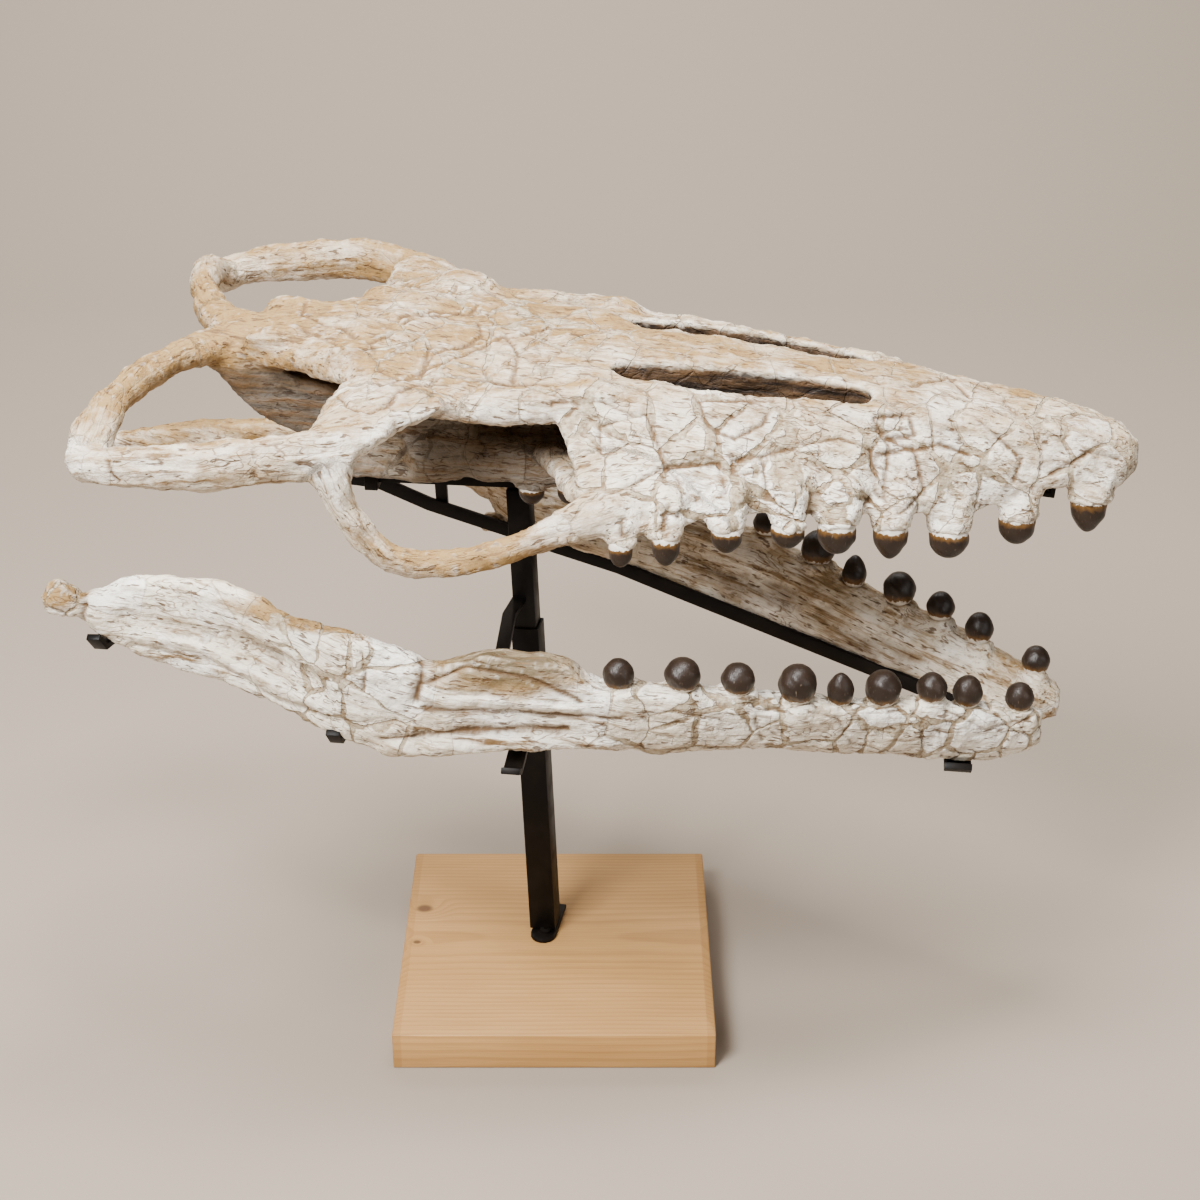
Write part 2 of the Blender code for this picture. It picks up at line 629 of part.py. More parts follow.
def add_bar(name, bar, group, material, parent, seats=()):
    """A steel bar, and in each collection of seats a copy that keeps the gap around it."""
    path, facing, width, thickness = bar
    bm = bmesh.new()
    loft(bm, bar_rings(path, facing, width, thickness))
    thing = add_object(name, mesh_from(bm, name), group, material, parent)
    for seat_group in seats:
        bm = bmesh.new()
        loft(bm, bar_rings(path, facing, width, thickness, GAP))
        hide_cutter(add_object(name + "_seat", mesh_from(bm, name), seat_group, None, parent))
    return thing


def on_rail(rail, x, out=0.0, above=0.0):
    """The point of a rail's middle line at x, moved sideways by out and up by above."""
    for (x0, y0, z0), (x1, y1, z1) in zip(rail, rail[1:]):
        if x1 <= x <= x0:
            share = (x - x0) / (x1 - x0)
            return (x, y0 + share * (y1 - y0) + out, z0 + share * (z1 - z0) + above)
    return rail[-1]


def crush(bm):
    """The far temple sits higher than the near one: a slow twist along the skull."""
    for vert in bm.verts:
        share = min(max((0.12 - vert.co.x) / 0.20, 0.0), 1.0)
        share = share * share * (3.0 - 2.0 * share)
        vert.co.z += vert.co.y * math.tan(CRUSH) * share


def build_skull(group, material, frame):
    hollows = new_collection("skull_hollows")
    bm = bmesh.new()
    loft(bm, [rostrum_ring(*station) for station in ROSTRUM])
    loft(bm, [roof_ring(*station) for station in ROOF])
    for path in (POSTORBITAL, TEMPORAL_ARCH, SUSPENSORIUM, PTERYGOID, PALATE_BRIDGE):
        both_sides(bm, limb_rings(path))
    both_sides(bm, limb_rings(JUGAL, upright=False))
    loft(bm, slab_rings(BRAINCASE, -BRAINCASE_HALF, BRAINCASE_HALF))
    loft(bm, slab_rings(SEPTUM, -SEPTUM_HALF, SEPTUM_HALF))
    for centre, size, turn in SKULL_LUMPS:
        lump(bm, centre, size, turn=turn)
    for side in (-1.0, 1.0):
        for x, y, tip, width, height, _ in UPPER_TEETH:
            pedestal(bm, x, side * y, tip + height, width, PEDESTAL, True)
        for x, y, tip, width, height, _ in PTERYGOID_TEETH:
            pedestal(bm, x, side * y, tip + height, width, PEDESTAL[:4], True)
    crush(bm)
    skull = add_object("skull", mesh_from(bm, "skull"), group, material, frame)
    for label, side in (("near", -1.0), ("far", 1.0)):
        bm = bmesh.new()
        loft(bm, [[(x, side * y, z) for x, y in NARIS] for z in (NARIS_FLOOR, NARIS_CUTTER_TOP)])
        naris = add_object("naris_" + label, mesh_from(bm, "naris"), hollows, None, frame)
        hide_cutter(naris)
    bm = bmesh.new()
    lump(bm, *FORAMEN)
    hide_cutter(add_object("foramen", mesh_from(bm, "foramen"), hollows, None, frame))
    bpy.context.view_layer.update()
    fuse(skull, SKULL_FACES, hollows)
    return skull


def lower_teeth(side):
    """Each lower tooth of one jaw as (x, y, root, width, crown height, pointedness)."""
    teeth = []
    for (x, y, middle, width, height, point), shift in zip(LOWER_TEETH, LEFT_TEETH_SHIFT):
        ahead, above = shift if side > 0 else (0.0, 0.0)
        teeth.append((x + ahead, y, middle + above - height / 2.0, width, height, point))
    return teeth


def build_jaw(name, side, dentary, rear, knob, fossa, faces, group, material, frame):
    bm = bmesh.new()
    loft(bm, [jaw_ring(side, *station) for station in dentary])
    loft(bm, [jaw_ring(side, *station) for station in rear])
    splenial = [(x, side * y, z, width, height) for x, y, z, width, height in SPLENIAL]
    loft(bm, limb_rings(splenial))
    for x, y, root, width, height, _ in lower_teeth(side):
        pedestal(bm, x, side * y, root, width, LOWER_PEDESTAL, False)
    if knob:
        (x, y, z), size = knob
        lump(bm, (x, side * y, z), size)
    jaw = add_object(name, mesh_from(bm, name), group, material, frame)
    hollows = None
    if fossa:
        hollows = new_collection(name + "_hollows")
        (x, y, z), size = fossa
        bm = bmesh.new()
        lump(bm, (x, side * y, z), size, 16, FOSSA_TILT)
        hide_cutter(add_object(name + "_fossa", mesh_from(bm, "fossa"), hollows, None, frame))
    bpy.context.view_layer.update()
    fuse(jaw, faces, hollows)
    return jaw


def build_base(group, material):
    """A solid board whose top field stands up behind bevels that are wider at the ends."""
    half = BASE_WIDTH / 2.0
    bm = bmesh.new()
    rings = []
    for side_in, end_in, z in (
        (0.0, 0.0, 0.0), (0.0, 0.0, BASE_EDGE), (BASE_BEVEL_SIDES, BASE_BEVEL_ENDS, BASE_TOP),
    ):
        x = half - side_in
        y = half - end_in
        rings.append([(-x, -y, z), (x, -y, z), (x, y, z), (-x, y, z)])
    loft(bm, rings)
    add_object("base_block", mesh_from(bm, "base_block"), group, material)


def post_frame(group):
    frame = add_frame("post_frame", POST_YAW, group)
    frame.rotation_euler = (0.0, POST_LEAN, POST_YAW)
    return frame


def build_post(group, material, clearance):
    frame = post_frame(group)
    pockets = new_collection("post_pockets")
    radius = FOOT_WIDTH / 2.0
    low = BASE_TOP + GAP
    outline = [(radius, FOOT_LENGTH - FOOT_BEHIND), (-radius, FOOT_LENGTH - FOOT_BEHIND)]
    for k in range(FOOT_ARC_STEPS + 1):
        turn = math.pi * (1.0 + k / FOOT_ARC_STEPS)
        outline.append((radius * math.cos(turn), radius * (1.0 + math.sin(turn)) - FOOT_BEHIND))
    bm = bmesh.new()
    loft(bm, [[(x, y, z) for x, y in outline] for z in (low, low + FOOT_THICKNESS)])
    foot = add_object("foot_plate", mesh_from(bm, "foot_plate"), group, material)
    foot.location = (*POST_PLACE, 0.0)
    foot.rotation_euler = (0.0, 0.0, POST_YAW)
    half = LOWER_TUBE / 2.0
    start = low + FOOT_THICKNESS + GAP
    bm = bmesh.new()
    box(bm, (-half, -half, start + POST_SKEW), (half, half, SLEEVE_TOP))
    lower = add_object("lower_post", mesh_from(bm, "lower_post"), group, material, frame)
    half = UPPER_TUBE / 2.0
    bottom = SLEEVE_TOP - SLEEVE_POCKET
    bm = bmesh.new()
    box(bm, (-half, -half, bottom + GAP), (half, half, POST_TOP))
    add_object("upper_post", mesh_from(bm, "upper_post"), group, material, frame)
    bm = bmesh.new()
    box(bm, (-half - GAP, -half - GAP, bottom), (half + GAP, half + GAP, SLEEVE_TOP + half))
    hide_cutter(add_object("pocket", mesh_from(bm, "pocket"), pockets, None, frame))
    cut_with(lower, pockets)
    for name, width, low, high in (("lower_post", LOWER_TUBE, BASE_TOP, SLEEVE_TOP),
                                   ("upper_post", UPPER_TUBE, SLEEVE_TOP, POST_TOP)):
        half = width / 2.0 + GAP
        bm = bmesh.new()
        box(bm, (-half, -half, low), (half, half, high + GAP))
        hide_cutter(add_object(name + "_seat", mesh_from(bm, name), clearance, None, frame))


def build_steel(group, material, skull_frame, jaw_frame, skull_seats, near_seats, far_seats,
                post_clearance):
    upright = (0.0, 0.0, 1.0)
    along = (1.0, 0.0, 0.0)
    level = (0.0, 1.0, 0.0)
    middle = (RAIL_BOTTOM + RAIL_TOP) / 2.0
    tall = RAIL_TOP - RAIL_BOTTOM
    rail = ([(x, 0.0, middle) for x in SKULL_RAIL_ENDS], upright, tall, RAIL_WIDTH)
    add_bar("skull_rail", rail, group, material, skull_frame, [skull_seats])
    palate = (PALATE_RAIL, level, STRAP_HEIGHT, STRAP_THICKNESS)
    add_bar("palate_rail", palate, group, material, skull_frame, [skull_seats])
    out = RAIL_WIDTH / 2.0 + GAP + HOOK_THICKNESS / 2.0
    under = RAIL_BOTTOM - GAP - HOOK_THICKNESS / 2.0
    wrap = [(CLAMP_X, out, RAIL_TOP), (CLAMP_X, out, under),
            (CLAMP_X, -out, under), (CLAMP_X, -out, RAIL_TOP)]
    clamp = (wrap, along, HOOK_WIDTH, HOOK_THICKNESS)
    add_bar("rail_clamp", clamp, group, material, skull_frame, [skull_seats])
    for side_name, line, out, seats, hooks, arm, arm_end in (
        ("right", NEAR_RAIL, -HOOK_OUT, near_seats, NEAR_HOOKS, NEAR_ARM, NEAR_ARM_END),
        ("left", FAR_RAIL, HOOK_OUT, far_seats, FAR_HOOKS, FAR_ARM, FAR_ARM_END),
    ):
        clearance = new_collection("rail_clearance_" + side_name)
        strap = (line, upright, STRAP_HEIGHT, STRAP_THICKNESS)
        add_bar("jaw_rail_" + side_name, strap, group, material, jaw_frame, [seats, clearance])
        for name, x, above, width, rest in hooks:
            start = on_rail(line, x, out, above)
            bar = ([start] + rest, along, width, HOOK_THICKNESS)
            cut_with(add_bar(name, bar, group, material, jaw_frame, [seats]), clearance)
        bar = (arm + [on_rail(line, arm_end)], along, HOOK_WIDTH, HOOK_THICKNESS)
        thing = add_bar("jaw_arm_" + side_name, bar, group, material, jaw_frame, [seats])
        cut_with(thing, clearance)
        cut_with(thing, post_clearance)


def main():
    start_clean()
    group = new_collection("mosasaur_skull")
    bone = finish_of("fossil_bone", (0.72, 0.66, 0.57), 0.75)
    enamel = finish_of("tooth_enamel", (0.05, 0.035, 0.025), 0.35)
    steel = finish_of("black_painted_steel", (0.02, 0.018, 0.016), 0.45)
    pine = finish_of("pine", (0.62, 0.44, 0.27), 0.6)
    skull_frame = add_frame("skull_frame", SKULL_YAW, group)
    jaw_frame = add_frame("jaw_frame", JAW_YAW, group)
    skull = build_skull(group, bone, skull_frame)
    near_jaw = build_jaw("jaw_right", -1.0, NEAR_DENTARY, NEAR_REAR, NEAR_KNOB, NEAR_FOSSA,
                         NEAR_JAW_FACES, group, bone, jaw_frame)
    far_jaw = build_jaw("jaw_left", 1.0, FAR_DENTARY, FAR_REAR, None, None,
                        FAR_JAW_FACES, group, bone, jaw_frame)
    skull_seats = new_collection("skull_seats")
    near_seats = new_collection("jaw_right_seats")
    far_seats = new_collection("jaw_left_seats")
    uppers = [(x, y, tip + height, width, height, point)
              for x, y, tip, width, height, point in UPPER_TEETH]
    palatals = [(x, y, tip + height, width, height, point)
                for x, y, tip, width, height, point in PTERYGOID_TEETH]
    for side_name, side, seats in (("right", -1.0, near_seats), ("left", 1.0, far_seats)):
        add_teeth("upper", side_name, side, uppers, True, group, skull_seats, enamel, skull_frame)
        add_teeth("palate", side_name, side, palatals, True, group, skull_seats, enamel,
                  skull_frame)
        add_teeth("lower", side_name, side, lower_teeth(side), False, group, seats, enamel,
                  jaw_frame)
    build_base(group, pine)
    post_clearance = new_collection("post_clearance")
    build_post(group, steel, post_clearance)
    build_steel(group, steel, skull_frame, jaw_frame, skull_seats, near_seats, far_seats,
                post_clearance)
    cut_with(skull, skull_seats)
    cut_with(near_jaw, near_seats)
    cut_with(far_jaw, far_seats)


main()
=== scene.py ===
"""Looks for the mounted fossil mosasaur skull: a section for each piece, in assembly order."""
import math

import bpy
import numpy as np
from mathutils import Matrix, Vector


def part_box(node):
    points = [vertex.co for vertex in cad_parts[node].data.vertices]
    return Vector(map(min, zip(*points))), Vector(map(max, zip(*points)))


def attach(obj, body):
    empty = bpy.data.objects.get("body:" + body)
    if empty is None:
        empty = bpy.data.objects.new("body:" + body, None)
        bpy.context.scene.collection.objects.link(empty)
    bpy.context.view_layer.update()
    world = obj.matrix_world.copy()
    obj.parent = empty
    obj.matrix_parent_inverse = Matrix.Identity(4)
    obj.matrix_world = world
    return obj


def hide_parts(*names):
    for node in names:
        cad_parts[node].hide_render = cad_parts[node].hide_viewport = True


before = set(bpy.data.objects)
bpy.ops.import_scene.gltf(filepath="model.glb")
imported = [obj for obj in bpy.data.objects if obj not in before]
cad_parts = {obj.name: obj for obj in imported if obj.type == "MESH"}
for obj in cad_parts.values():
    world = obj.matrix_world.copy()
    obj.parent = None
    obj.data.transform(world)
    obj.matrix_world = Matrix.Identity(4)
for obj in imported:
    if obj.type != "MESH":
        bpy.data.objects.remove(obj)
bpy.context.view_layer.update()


# Camera. A long lens on a tripod, a little above the skull and looking down at it.
# Lens, height and tilt were solved from the base's corners in the photograph.
CAMERA_PLACE = (0.042579, -1.726015, 1.296208)
CAMERA_DOWN = 0.472696
CAMERA_LENS = 64.11
CAMERA_SENSOR = 36.0

camera_data = bpy.data.cameras.new("camera")
camera_data.sensor_width = CAMERA_SENSOR
camera_data.lens = CAMERA_LENS
camera = bpy.data.objects.new("camera", camera_data)
bpy.context.scene.collection.objects.link(camera)
camera.location = CAMERA_PLACE
camera.rotation_euler = (math.pi / 2.0 - CAMERA_DOWN, 0.0, 0.0)
bpy.context.scene.camera = camera


# Studio. A seamless sheet of greige paper that runs from the floor up the wall, so
# no corner shows, under soft boxes at the left, above, at the right and behind.
SWEEP_WIDTH = 12.0
SWEEP_FRONT = -8.0
SWEEP_BACK = 3.4
SWEEP_HEIGHT = 4.0
SWEEP_BEND = 1.4
BEND_STEPS = 24
PAPER = "#95887a"
ROOM_LIGHT = "#d8d0c8"
ROOM_STRENGTH = 0.13


def linear(code, alpha=1.0):
    """An sRGB hex colour as the linear numbers that a shader socket takes."""
    values = [int(code[i:i + 2], 16) / 255.0 for i in (1, 3, 5)]
    return tuple(v / 12.92 if v <= 0.04045 else ((v + 0.055) / 1.055) ** 2.4
                 for v in values) + (alpha,)


def add_node(tree, kind, inputs=None, **settings):
    """A node with its settings, each input linked to a socket or given a value."""
    node = tree.nodes.new(kind)
    for key, value in settings.items():
        setattr(node, key, value)
    for key, value in (inputs or {}).items():
        if isinstance(value, bpy.types.NodeSocket):
            tree.links.new(value, node.inputs[key])
        else:
            node.inputs[key].default_value = value
    return node


def new_material(name):
    """An empty material with its tree, its shader and the object coordinates."""
    material = bpy.data.materials.new(name)
    material.use_nodes = True
    tree = material.node_tree
    shader = tree.nodes["Principled BSDF"]
    place = add_node(tree, "ShaderNodeTexCoord").outputs["Object"]
    return material, tree, shader, place


def only(piece):
    """Selects this piece alone and makes it the active one."""
    bpy.ops.object.select_all(action="DESELECT")
    bpy.context.view_layer.objects.active = piece
    piece.select_set(True)


bpy.ops.object.select_all(action="DESELECT")
bpy.ops.mesh.primitive_plane_add(size=1.0)
sweep = bpy.context.object
sweep.name = "paper_sweep"
sweep.scale = (SWEEP_WIDTH, SWEEP_BACK - SWEEP_FRONT, 1.0)
sweep.location = (0.0, (SWEEP_BACK + SWEEP_FRONT) / 2.0, 0.0)
bpy.ops.object.transform_apply(location=True, rotation=True, scale=True)
for edge in sweep.data.edges:
    edge.select = all(sweep.data.vertices[i].co.y > 0.0 for i in edge.vertices)
for vert in sweep.data.vertices:
    vert.select = vert.co.y > 0.0
sweep.data.polygons[0].select = False
bpy.ops.object.mode_set(mode="EDIT")
bpy.ops.mesh.extrude_region_move(TRANSFORM_OT_translate={"value": (0.0, 0.0, SWEEP_HEIGHT)})
bpy.ops.object.mode_set(mode="OBJECT")
bend = sweep.modifiers.new("bend", "BEVEL")
bend.width = SWEEP_BEND
bend.segments = BEND_STEPS
bend.limit_method = "ANGLE"
bpy.ops.object.modifier_apply(modifier=bend.name)
bpy.ops.object.shade_smooth()
paper, tree, shader, place = new_material("seamless_paper")
shader.inputs["Base Color"].default_value = linear(PAPER)
shader.inputs["Roughness"].default_value = 0.9
shader.inputs["Specular IOR Level"].default_value = 0.1
sweep.data.materials.append(paper)

# Soft boxes: name, place, point it faces, width, height, power in watts.
SOFT_BOXES = [
    ("key", (-1.1, -1.6, 2.4), (0.0, 0.0, 0.55), 1.0, 1.0, 205.0),
    ("top", (0.1, -0.1, 2.6), (0.0, 0.0, 0.3), 1.0, 0.7, 112.0),
    ("fill", (2.1, -1.8, 1.3), (0.1, 0.0, 0.5), 1.4, 1.4, 20.0),
    ("back", (-0.3, 1.9, 2.8), (0.0, 3.2, 0.6), 3.4, 1.0, 135.0),
]
for name, spot, aim, width, height, power in SOFT_BOXES:
    light = bpy.data.lights.new(name, "AREA")
    light.shape = "RECTANGLE"
    light.size = width
    light.size_y = height
    light.energy = power
    lamp = bpy.data.objects.new(name, light)
    bpy.context.scene.collection.objects.link(lamp)
    lamp.location = spot
    lamp.rotation_euler = (Vector(spot) - Vector(aim)).to_track_quat("Z", "Y").to_euler()
room = bpy.data.worlds.new("room")
room.use_nodes = True
room.node_tree.nodes["Background"].inputs["Color"].default_value = linear(ROOM_LIGHT)
room.node_tree.nodes["Background"].inputs["Strength"].default_value = ROOM_STRENGTH
bpy.context.scene.world = room


# Base. One thick pine board, planed and clear-oiled, 300 mm square, its top edges
# planed to shallow bevels that are wider across the ends. Every arris is eased.
EASED_ARRIS = 0.0012
PINE_LIGHT = "#c79a60"
PINE_MID = "#ae8148"
PINE_LATE = "#8f6232"
PINE_KNOT = "#6b4a2c"
# Growth rings: their spacing, the pith as (y, z) under the board, where along the board
# they dip and how sharply, and how far they wander. Each knot is x, y and radius.
RING_WIDTH = 0.0042
HEART = (-0.002, -0.062)
SADDLE = (-0.043, -0.025)
RING_WANDER = 0.006
KNOTS = [(-0.1340, 0.0480, 0.0065), (-0.1373, -0.0085, 0.0032)]
KNOT_SQUASH = (0.75, 1.0, 0.0)
# Turns in a metre: rings bow over 110 to 200 mm, fibres are 70 mm long and 1.1 mm wide,
# and clouds of colour are 140 mm long and 45 mm wide.
BOW_TURNS = (5.0, 9.0, 9.0)
FIBRE_TURNS = (14.0, 900.0, 900.0)
CLOUD_TURNS = (7.0, 22.0, 22.0)
LATE_SHARE = 0.34
FIBRE_SHARE = 0.35
# The end bevels show end grain: how far from the middle they start, how much they darken,
# and half the width of the change.
END_BEVEL = 0.1420
END_SHARE = 0.30
END_BLUR = 0.0005
MERGE_GAP = 0.00001
FLAT_ANGLE = math.radians(0.5)


def settle(piece, kind, **settings):
    """Adds a modifier with its settings and applies it."""
    only(piece)
    modifier = piece.modifiers.new(kind.lower(), kind)
    for key, value in settings.items():
        setattr(modifier, key, value)
    bpy.ops.object.modifier_apply(modifier=modifier.name)


def copy_of(node, name, flat=False):
    """A new object with the CAD node's mesh, its loose triangles merged."""
    piece = bpy.data.objects.new(name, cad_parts[node].data.copy())
    bpy.context.scene.collection.objects.link(piece)
    piece.data.materials.clear()
    only(piece)
    bpy.ops.object.mode_set(mode="EDIT")
    bpy.ops.mesh.select_all(action="SELECT")
    bpy.ops.mesh.remove_doubles(threshold=MERGE_GAP)
    if flat:
        bpy.ops.mesh.dissolve_limited(angle_limit=FLAT_ANGLE)
    bpy.ops.object.mode_set(mode="OBJECT")
    bpy.ops.mesh.customdata_custom_splitnormals_clear()
    return piece


def place_piece(piece, material, slot, *nodes):
    """Gives a finished piece its material and puts it where the CAD nodes are."""
    piece.data.materials.clear()
    piece.data.materials.append(material)
    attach(piece, "root")
    if nodes:
        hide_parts(*nodes)


def maths(tree, operation, *values):
    """One step of arithmetic on numbers and sockets."""
    return add_node(tree, "ShaderNodeMath", dict(enumerate(values)),
                    operation=operation).outputs[0]


def vector_maths(tree, operation, *values, output="Vector"):
    """One step of arithmetic on vectors."""
    return add_node(tree, "ShaderNodeVectorMath", dict(enumerate(values)),
                    operation=operation).outputs[output]


def mapped(tree, value, low, high, start=0.0, end=1.0, curve="LINEAR"):
    """A value from low to high turned into one from start to end."""
    return add_node(tree, "ShaderNodeMapRange", {
        "Value": value, "From Min": low, "From Max": high,
        "To Min": start, "To Max": end}, interpolation_type=curve).outputs[0]


def mixed(tree, share, one, other):
    """A mix of two colours, each a socket or an sRGB hex code."""
    one, other = (linear(c) if isinstance(c, str) else c for c in (one, other))
    return add_node(tree, "ShaderNodeMix", {"Factor": share, 6: one, 7: other},
                    data_type="RGBA").outputs[2]


def noise_at(tree, vector, turns, detail=2.0, rough=0.5, output="Fac"):
    """A noise with so many turns in each metre of its vector."""
    return add_node(tree, "ShaderNodeTexNoise", {
        "Vector": vector, "Scale": turns, "Detail": detail,
        "Roughness": rough}).outputs[output]


def fine_relief(tree, shader, height, strength, distance):
    """Relief too fine for the mesh, from a height field."""
    bump = add_node(tree, "ShaderNodeBump", {
        "Height": height, "Strength": strength, "Distance": distance}).outputs[0]
    tree.links.new(bump, shader.inputs["Normal"])


board = copy_of("base_block", "pine_board", flat=True)
settle(board, "BEVEL", width=EASED_ARRIS, segments=3, limit_method="ANGLE",
       angle_limit=math.radians(3.0))
only(board)
bpy.ops.object.shade_smooth_by_angle(angle=math.radians(30.0))

# Pine, planed and oiled: pale wide early wood, thin darker late wood in each ring, fine
# fibres along the board, and two knots near one end where the rings run round.
pine, tree, shader, place = new_material("oiled_pine")
along, across, up = add_node(tree, "ShaderNodeSeparateXYZ", {"Vector": place}).outputs
bow = noise_at(tree, vector_maths(tree, "MULTIPLY", place, BOW_TURNS), 1.0)
from_heart = add_node(tree, "ShaderNodeCombineXYZ", {
    "X": 0.0, "Y": maths(tree, "SUBTRACT", across, HEART[0]),
    "Z": maths(tree, "SUBTRACT", up, HEART[1])}).outputs[0]
radius = vector_maths(tree, "LENGTH", from_heart, output="Value")
radius = maths(tree, "MULTIPLY_ADD", bow, RING_WANDER, radius)
from_saddle = maths(tree, "SUBTRACT", along, SADDLE[0])
from_saddle = maths(tree, "MULTIPLY", from_saddle, from_saddle)
radius = maths(tree, "MULTIPLY_ADD", from_saddle, SADDLE[1], radius)
top_place = add_node(tree, "ShaderNodeCombineXYZ", {"X": along, "Y": across}).outputs[0]
knots = None
for knot_x, knot_y, knot_size in KNOTS:
    offset = vector_maths(tree, "SUBTRACT", top_place, (knot_x, knot_y, 0.0))
    offset = vector_maths(tree, "MULTIPLY", offset, KNOT_SQUASH)
    reach = vector_maths(tree, "LENGTH", offset, output="Value")
    push = mapped(tree, reach, 0.0, knot_size * 4.5, knot_size * 1.6, 0.0, "SMOOTHERSTEP")
    radius = maths(tree, "ADD", radius, push)
    core = mapped(tree, reach, knot_size * 0.5, knot_size * 1.3, 1.0, 0.0, "SMOOTHSTEP")
    knots = maths(tree, "MAXIMUM", knots, core) if knots else core
ring = maths(tree, "FRACT", maths(tree, "MULTIPLY", radius, 1.0 / RING_WIDTH))
# Across one ring: pale to 0.30, darkening to 0.92, then sharply back.
late = add_node(tree, "ShaderNodeValToRGB", {"Fac": ring})
late.color_ramp.interpolation = "EASE"
late.color_ramp.elements[0].position = 0.30
late.color_ramp.elements[0].color = (0.0, 0.0, 0.0, 1.0)
late.color_ramp.elements[1].position = 0.92
late.color_ramp.elements[1].color = (1.0, 1.0, 1.0, 1.0)
late.color_ramp.elements.new(1.0).color = (0.0, 0.0, 0.0, 1.0)
fibre = noise_at(tree, vector_maths(tree, "MULTIPLY", place, FIBRE_TURNS), 1.0, 3.0)
cloud = noise_at(tree, vector_maths(tree, "MULTIPLY", place, CLOUD_TURNS), 1.0, 3.0)
body = mixed(tree, cloud, PINE_LIGHT, PINE_MID)
body = mixed(tree, maths(tree, "MULTIPLY", late.outputs["Color"], LATE_SHARE), body, PINE_LATE)
body = mixed(tree, mapped(tree, fibre, 0.42, 0.75, 0.0, FIBRE_SHARE), body, PINE_LATE)
body = mixed(tree, knots, body, PINE_KNOT)
end_grain = mapped(tree, maths(tree, "ABSOLUTE", along), END_BEVEL - END_BLUR,
                   END_BEVEL + END_BLUR, 0.0, END_SHARE)
body = mixed(tree, end_grain, body, PINE_LATE)
tree.links.new(body, shader.inputs["Base Color"])
shader.inputs["Roughness"].default_value = 0.55
shader.inputs["Specular IOR Level"].default_value = 0.35
fine_relief(tree, shader, fibre, 0.25, 0.0004)
place_piece(board, pine, "pine", "base_block")


# Post, rails and hooks. Square tube and flat bar, cut, bent hot, welded up and painted
# satin black by brush, which leaves soft arrises and a faint texture.
BAR_ARRIS = 0.0008
STEEL_NODES = [
    "foot_plate", "lower_post", "upper_post", "skull_rail", "palate_rail", "rail_clamp",
    "jaw_rail_right", "jaw_rail_left", "jaw_arm_right", "jaw_arm_left",
    "hook_right_rear", "hook_right_middle", "hook_right_centre", "hook_right_front",
    "hook_left_rear", "hook_left_middle",
]
PAINT_BLACK = "#090706"
PAINT_WORN = "#18130f"
# Turns in a metre: rubbed patches of 22 mm, brush marks of 2.4 mm.
RUB_TURNS = 45.0
BRUSH_TURNS = 420.0

# Brushed black enamel on steel: a dark coat, a little browner where it has rubbed thin,
# with low brush texture that breaks up its highlights.
paint, tree, shader, place = new_material("brushed_black_enamel")
rub = mapped(tree, noise_at(tree, place, RUB_TURNS, 4.0), 0.45, 0.72)
tree.links.new(mixed(tree, rub, PAINT_BLACK, PAINT_WORN), shader.inputs["Base Color"])
tree.links.new(mapped(tree, rub, 0.0, 1.0, 0.42, 0.58), shader.inputs["Roughness"])
shader.inputs["Specular IOR Level"].default_value = 0.12
fine_relief(tree, shader, noise_at(tree, place, BRUSH_TURNS), 0.2, 0.0004)

for node in STEEL_NODES:
    bar = copy_of(node, node + "_bar", flat=True)
    settle(bar, "BEVEL", width=BAR_ARRIS, segments=2, limit_method="ANGLE",
           angle_limit=math.radians(25.0))
    only(bar)
    bpy.ops.object.shade_smooth_by_angle(angle=math.radians(35.0))
    place_piece(bar, paint, "black_painted_steel", node)


# Foot screw. A black button-head screw with a small drive socket, turned down through the
# rounded end of the foot plate into the board.
SCREW_PLACE = (-0.0108, 0.0047)
SCREW_RADIUS = 0.0058
SCREW_TALL = 0.0026
SCREW_SLOPE = 0.0020
SCREW_CROWN = 0.0006
SCREW_GAP = 0.0001
SOCKET_RADIUS = 0.0024
SOCKET_DEEP = 0.0018
foot_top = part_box("foot_plate")[1].z
bpy.ops.object.select_all(action="DESELECT")
bpy.ops.mesh.primitive_cylinder_add(
    vertices=24, radius=SCREW_RADIUS, depth=SCREW_TALL,
    location=(*SCREW_PLACE, foot_top + SCREW_TALL / 2.0 + SCREW_GAP))
screw = bpy.context.object
screw.name = "foot_screw"
bpy.ops.object.transform_apply(location=True, rotation=True, scale=True)
bpy.ops.object.mode_set(mode="EDIT")
bpy.ops.mesh.select_all(action="DESELECT")
bpy.ops.object.mode_set(mode="OBJECT")
for face in screw.data.polygons:
    face.select = face.normal.z > 0.9
bpy.ops.object.mode_set(mode="EDIT")
bpy.ops.mesh.inset(thickness=SCREW_SLOPE)
bpy.ops.transform.translate(value=(0.0, 0.0, SCREW_CROWN))
bpy.ops.mesh.inset(thickness=SCREW_RADIUS - SCREW_SLOPE - SOCKET_RADIUS)
bpy.ops.mesh.extrude_region_move(TRANSFORM_OT_translate={"value": (0.0, 0.0, -SOCKET_DEEP)})
bpy.ops.object.mode_set(mode="OBJECT")
bpy.ops.object.shade_smooth_by_angle(angle=math.radians(40.0))
place_piece(screw, paint, "black_painted_steel")


# Bones. Mineralised bone, broken in the ground into flat plates, glued back together
# with greige filler in the gaps, rubbed down and sealed. Fibres run along each bone.
SKULL_YAW = math.radians(-6.0)
JAW_YAW = math.radians(-8.0)
POST_PLACE = (-0.010, 0.018)
# Turns in a metre: plates of 42 mm, and hair cracks round cells of 19 mm.
PLATE_TURNS = 24.0
HAIR_TURNS = 52.0
# How much browner the upward faces are, and the width from which a groove is a form of the
# bone, not a seam with a brown line in it.
SUN_TAN = 0.13
INKED_WIDTH = 0.0050
INK_SHARE = 0.7
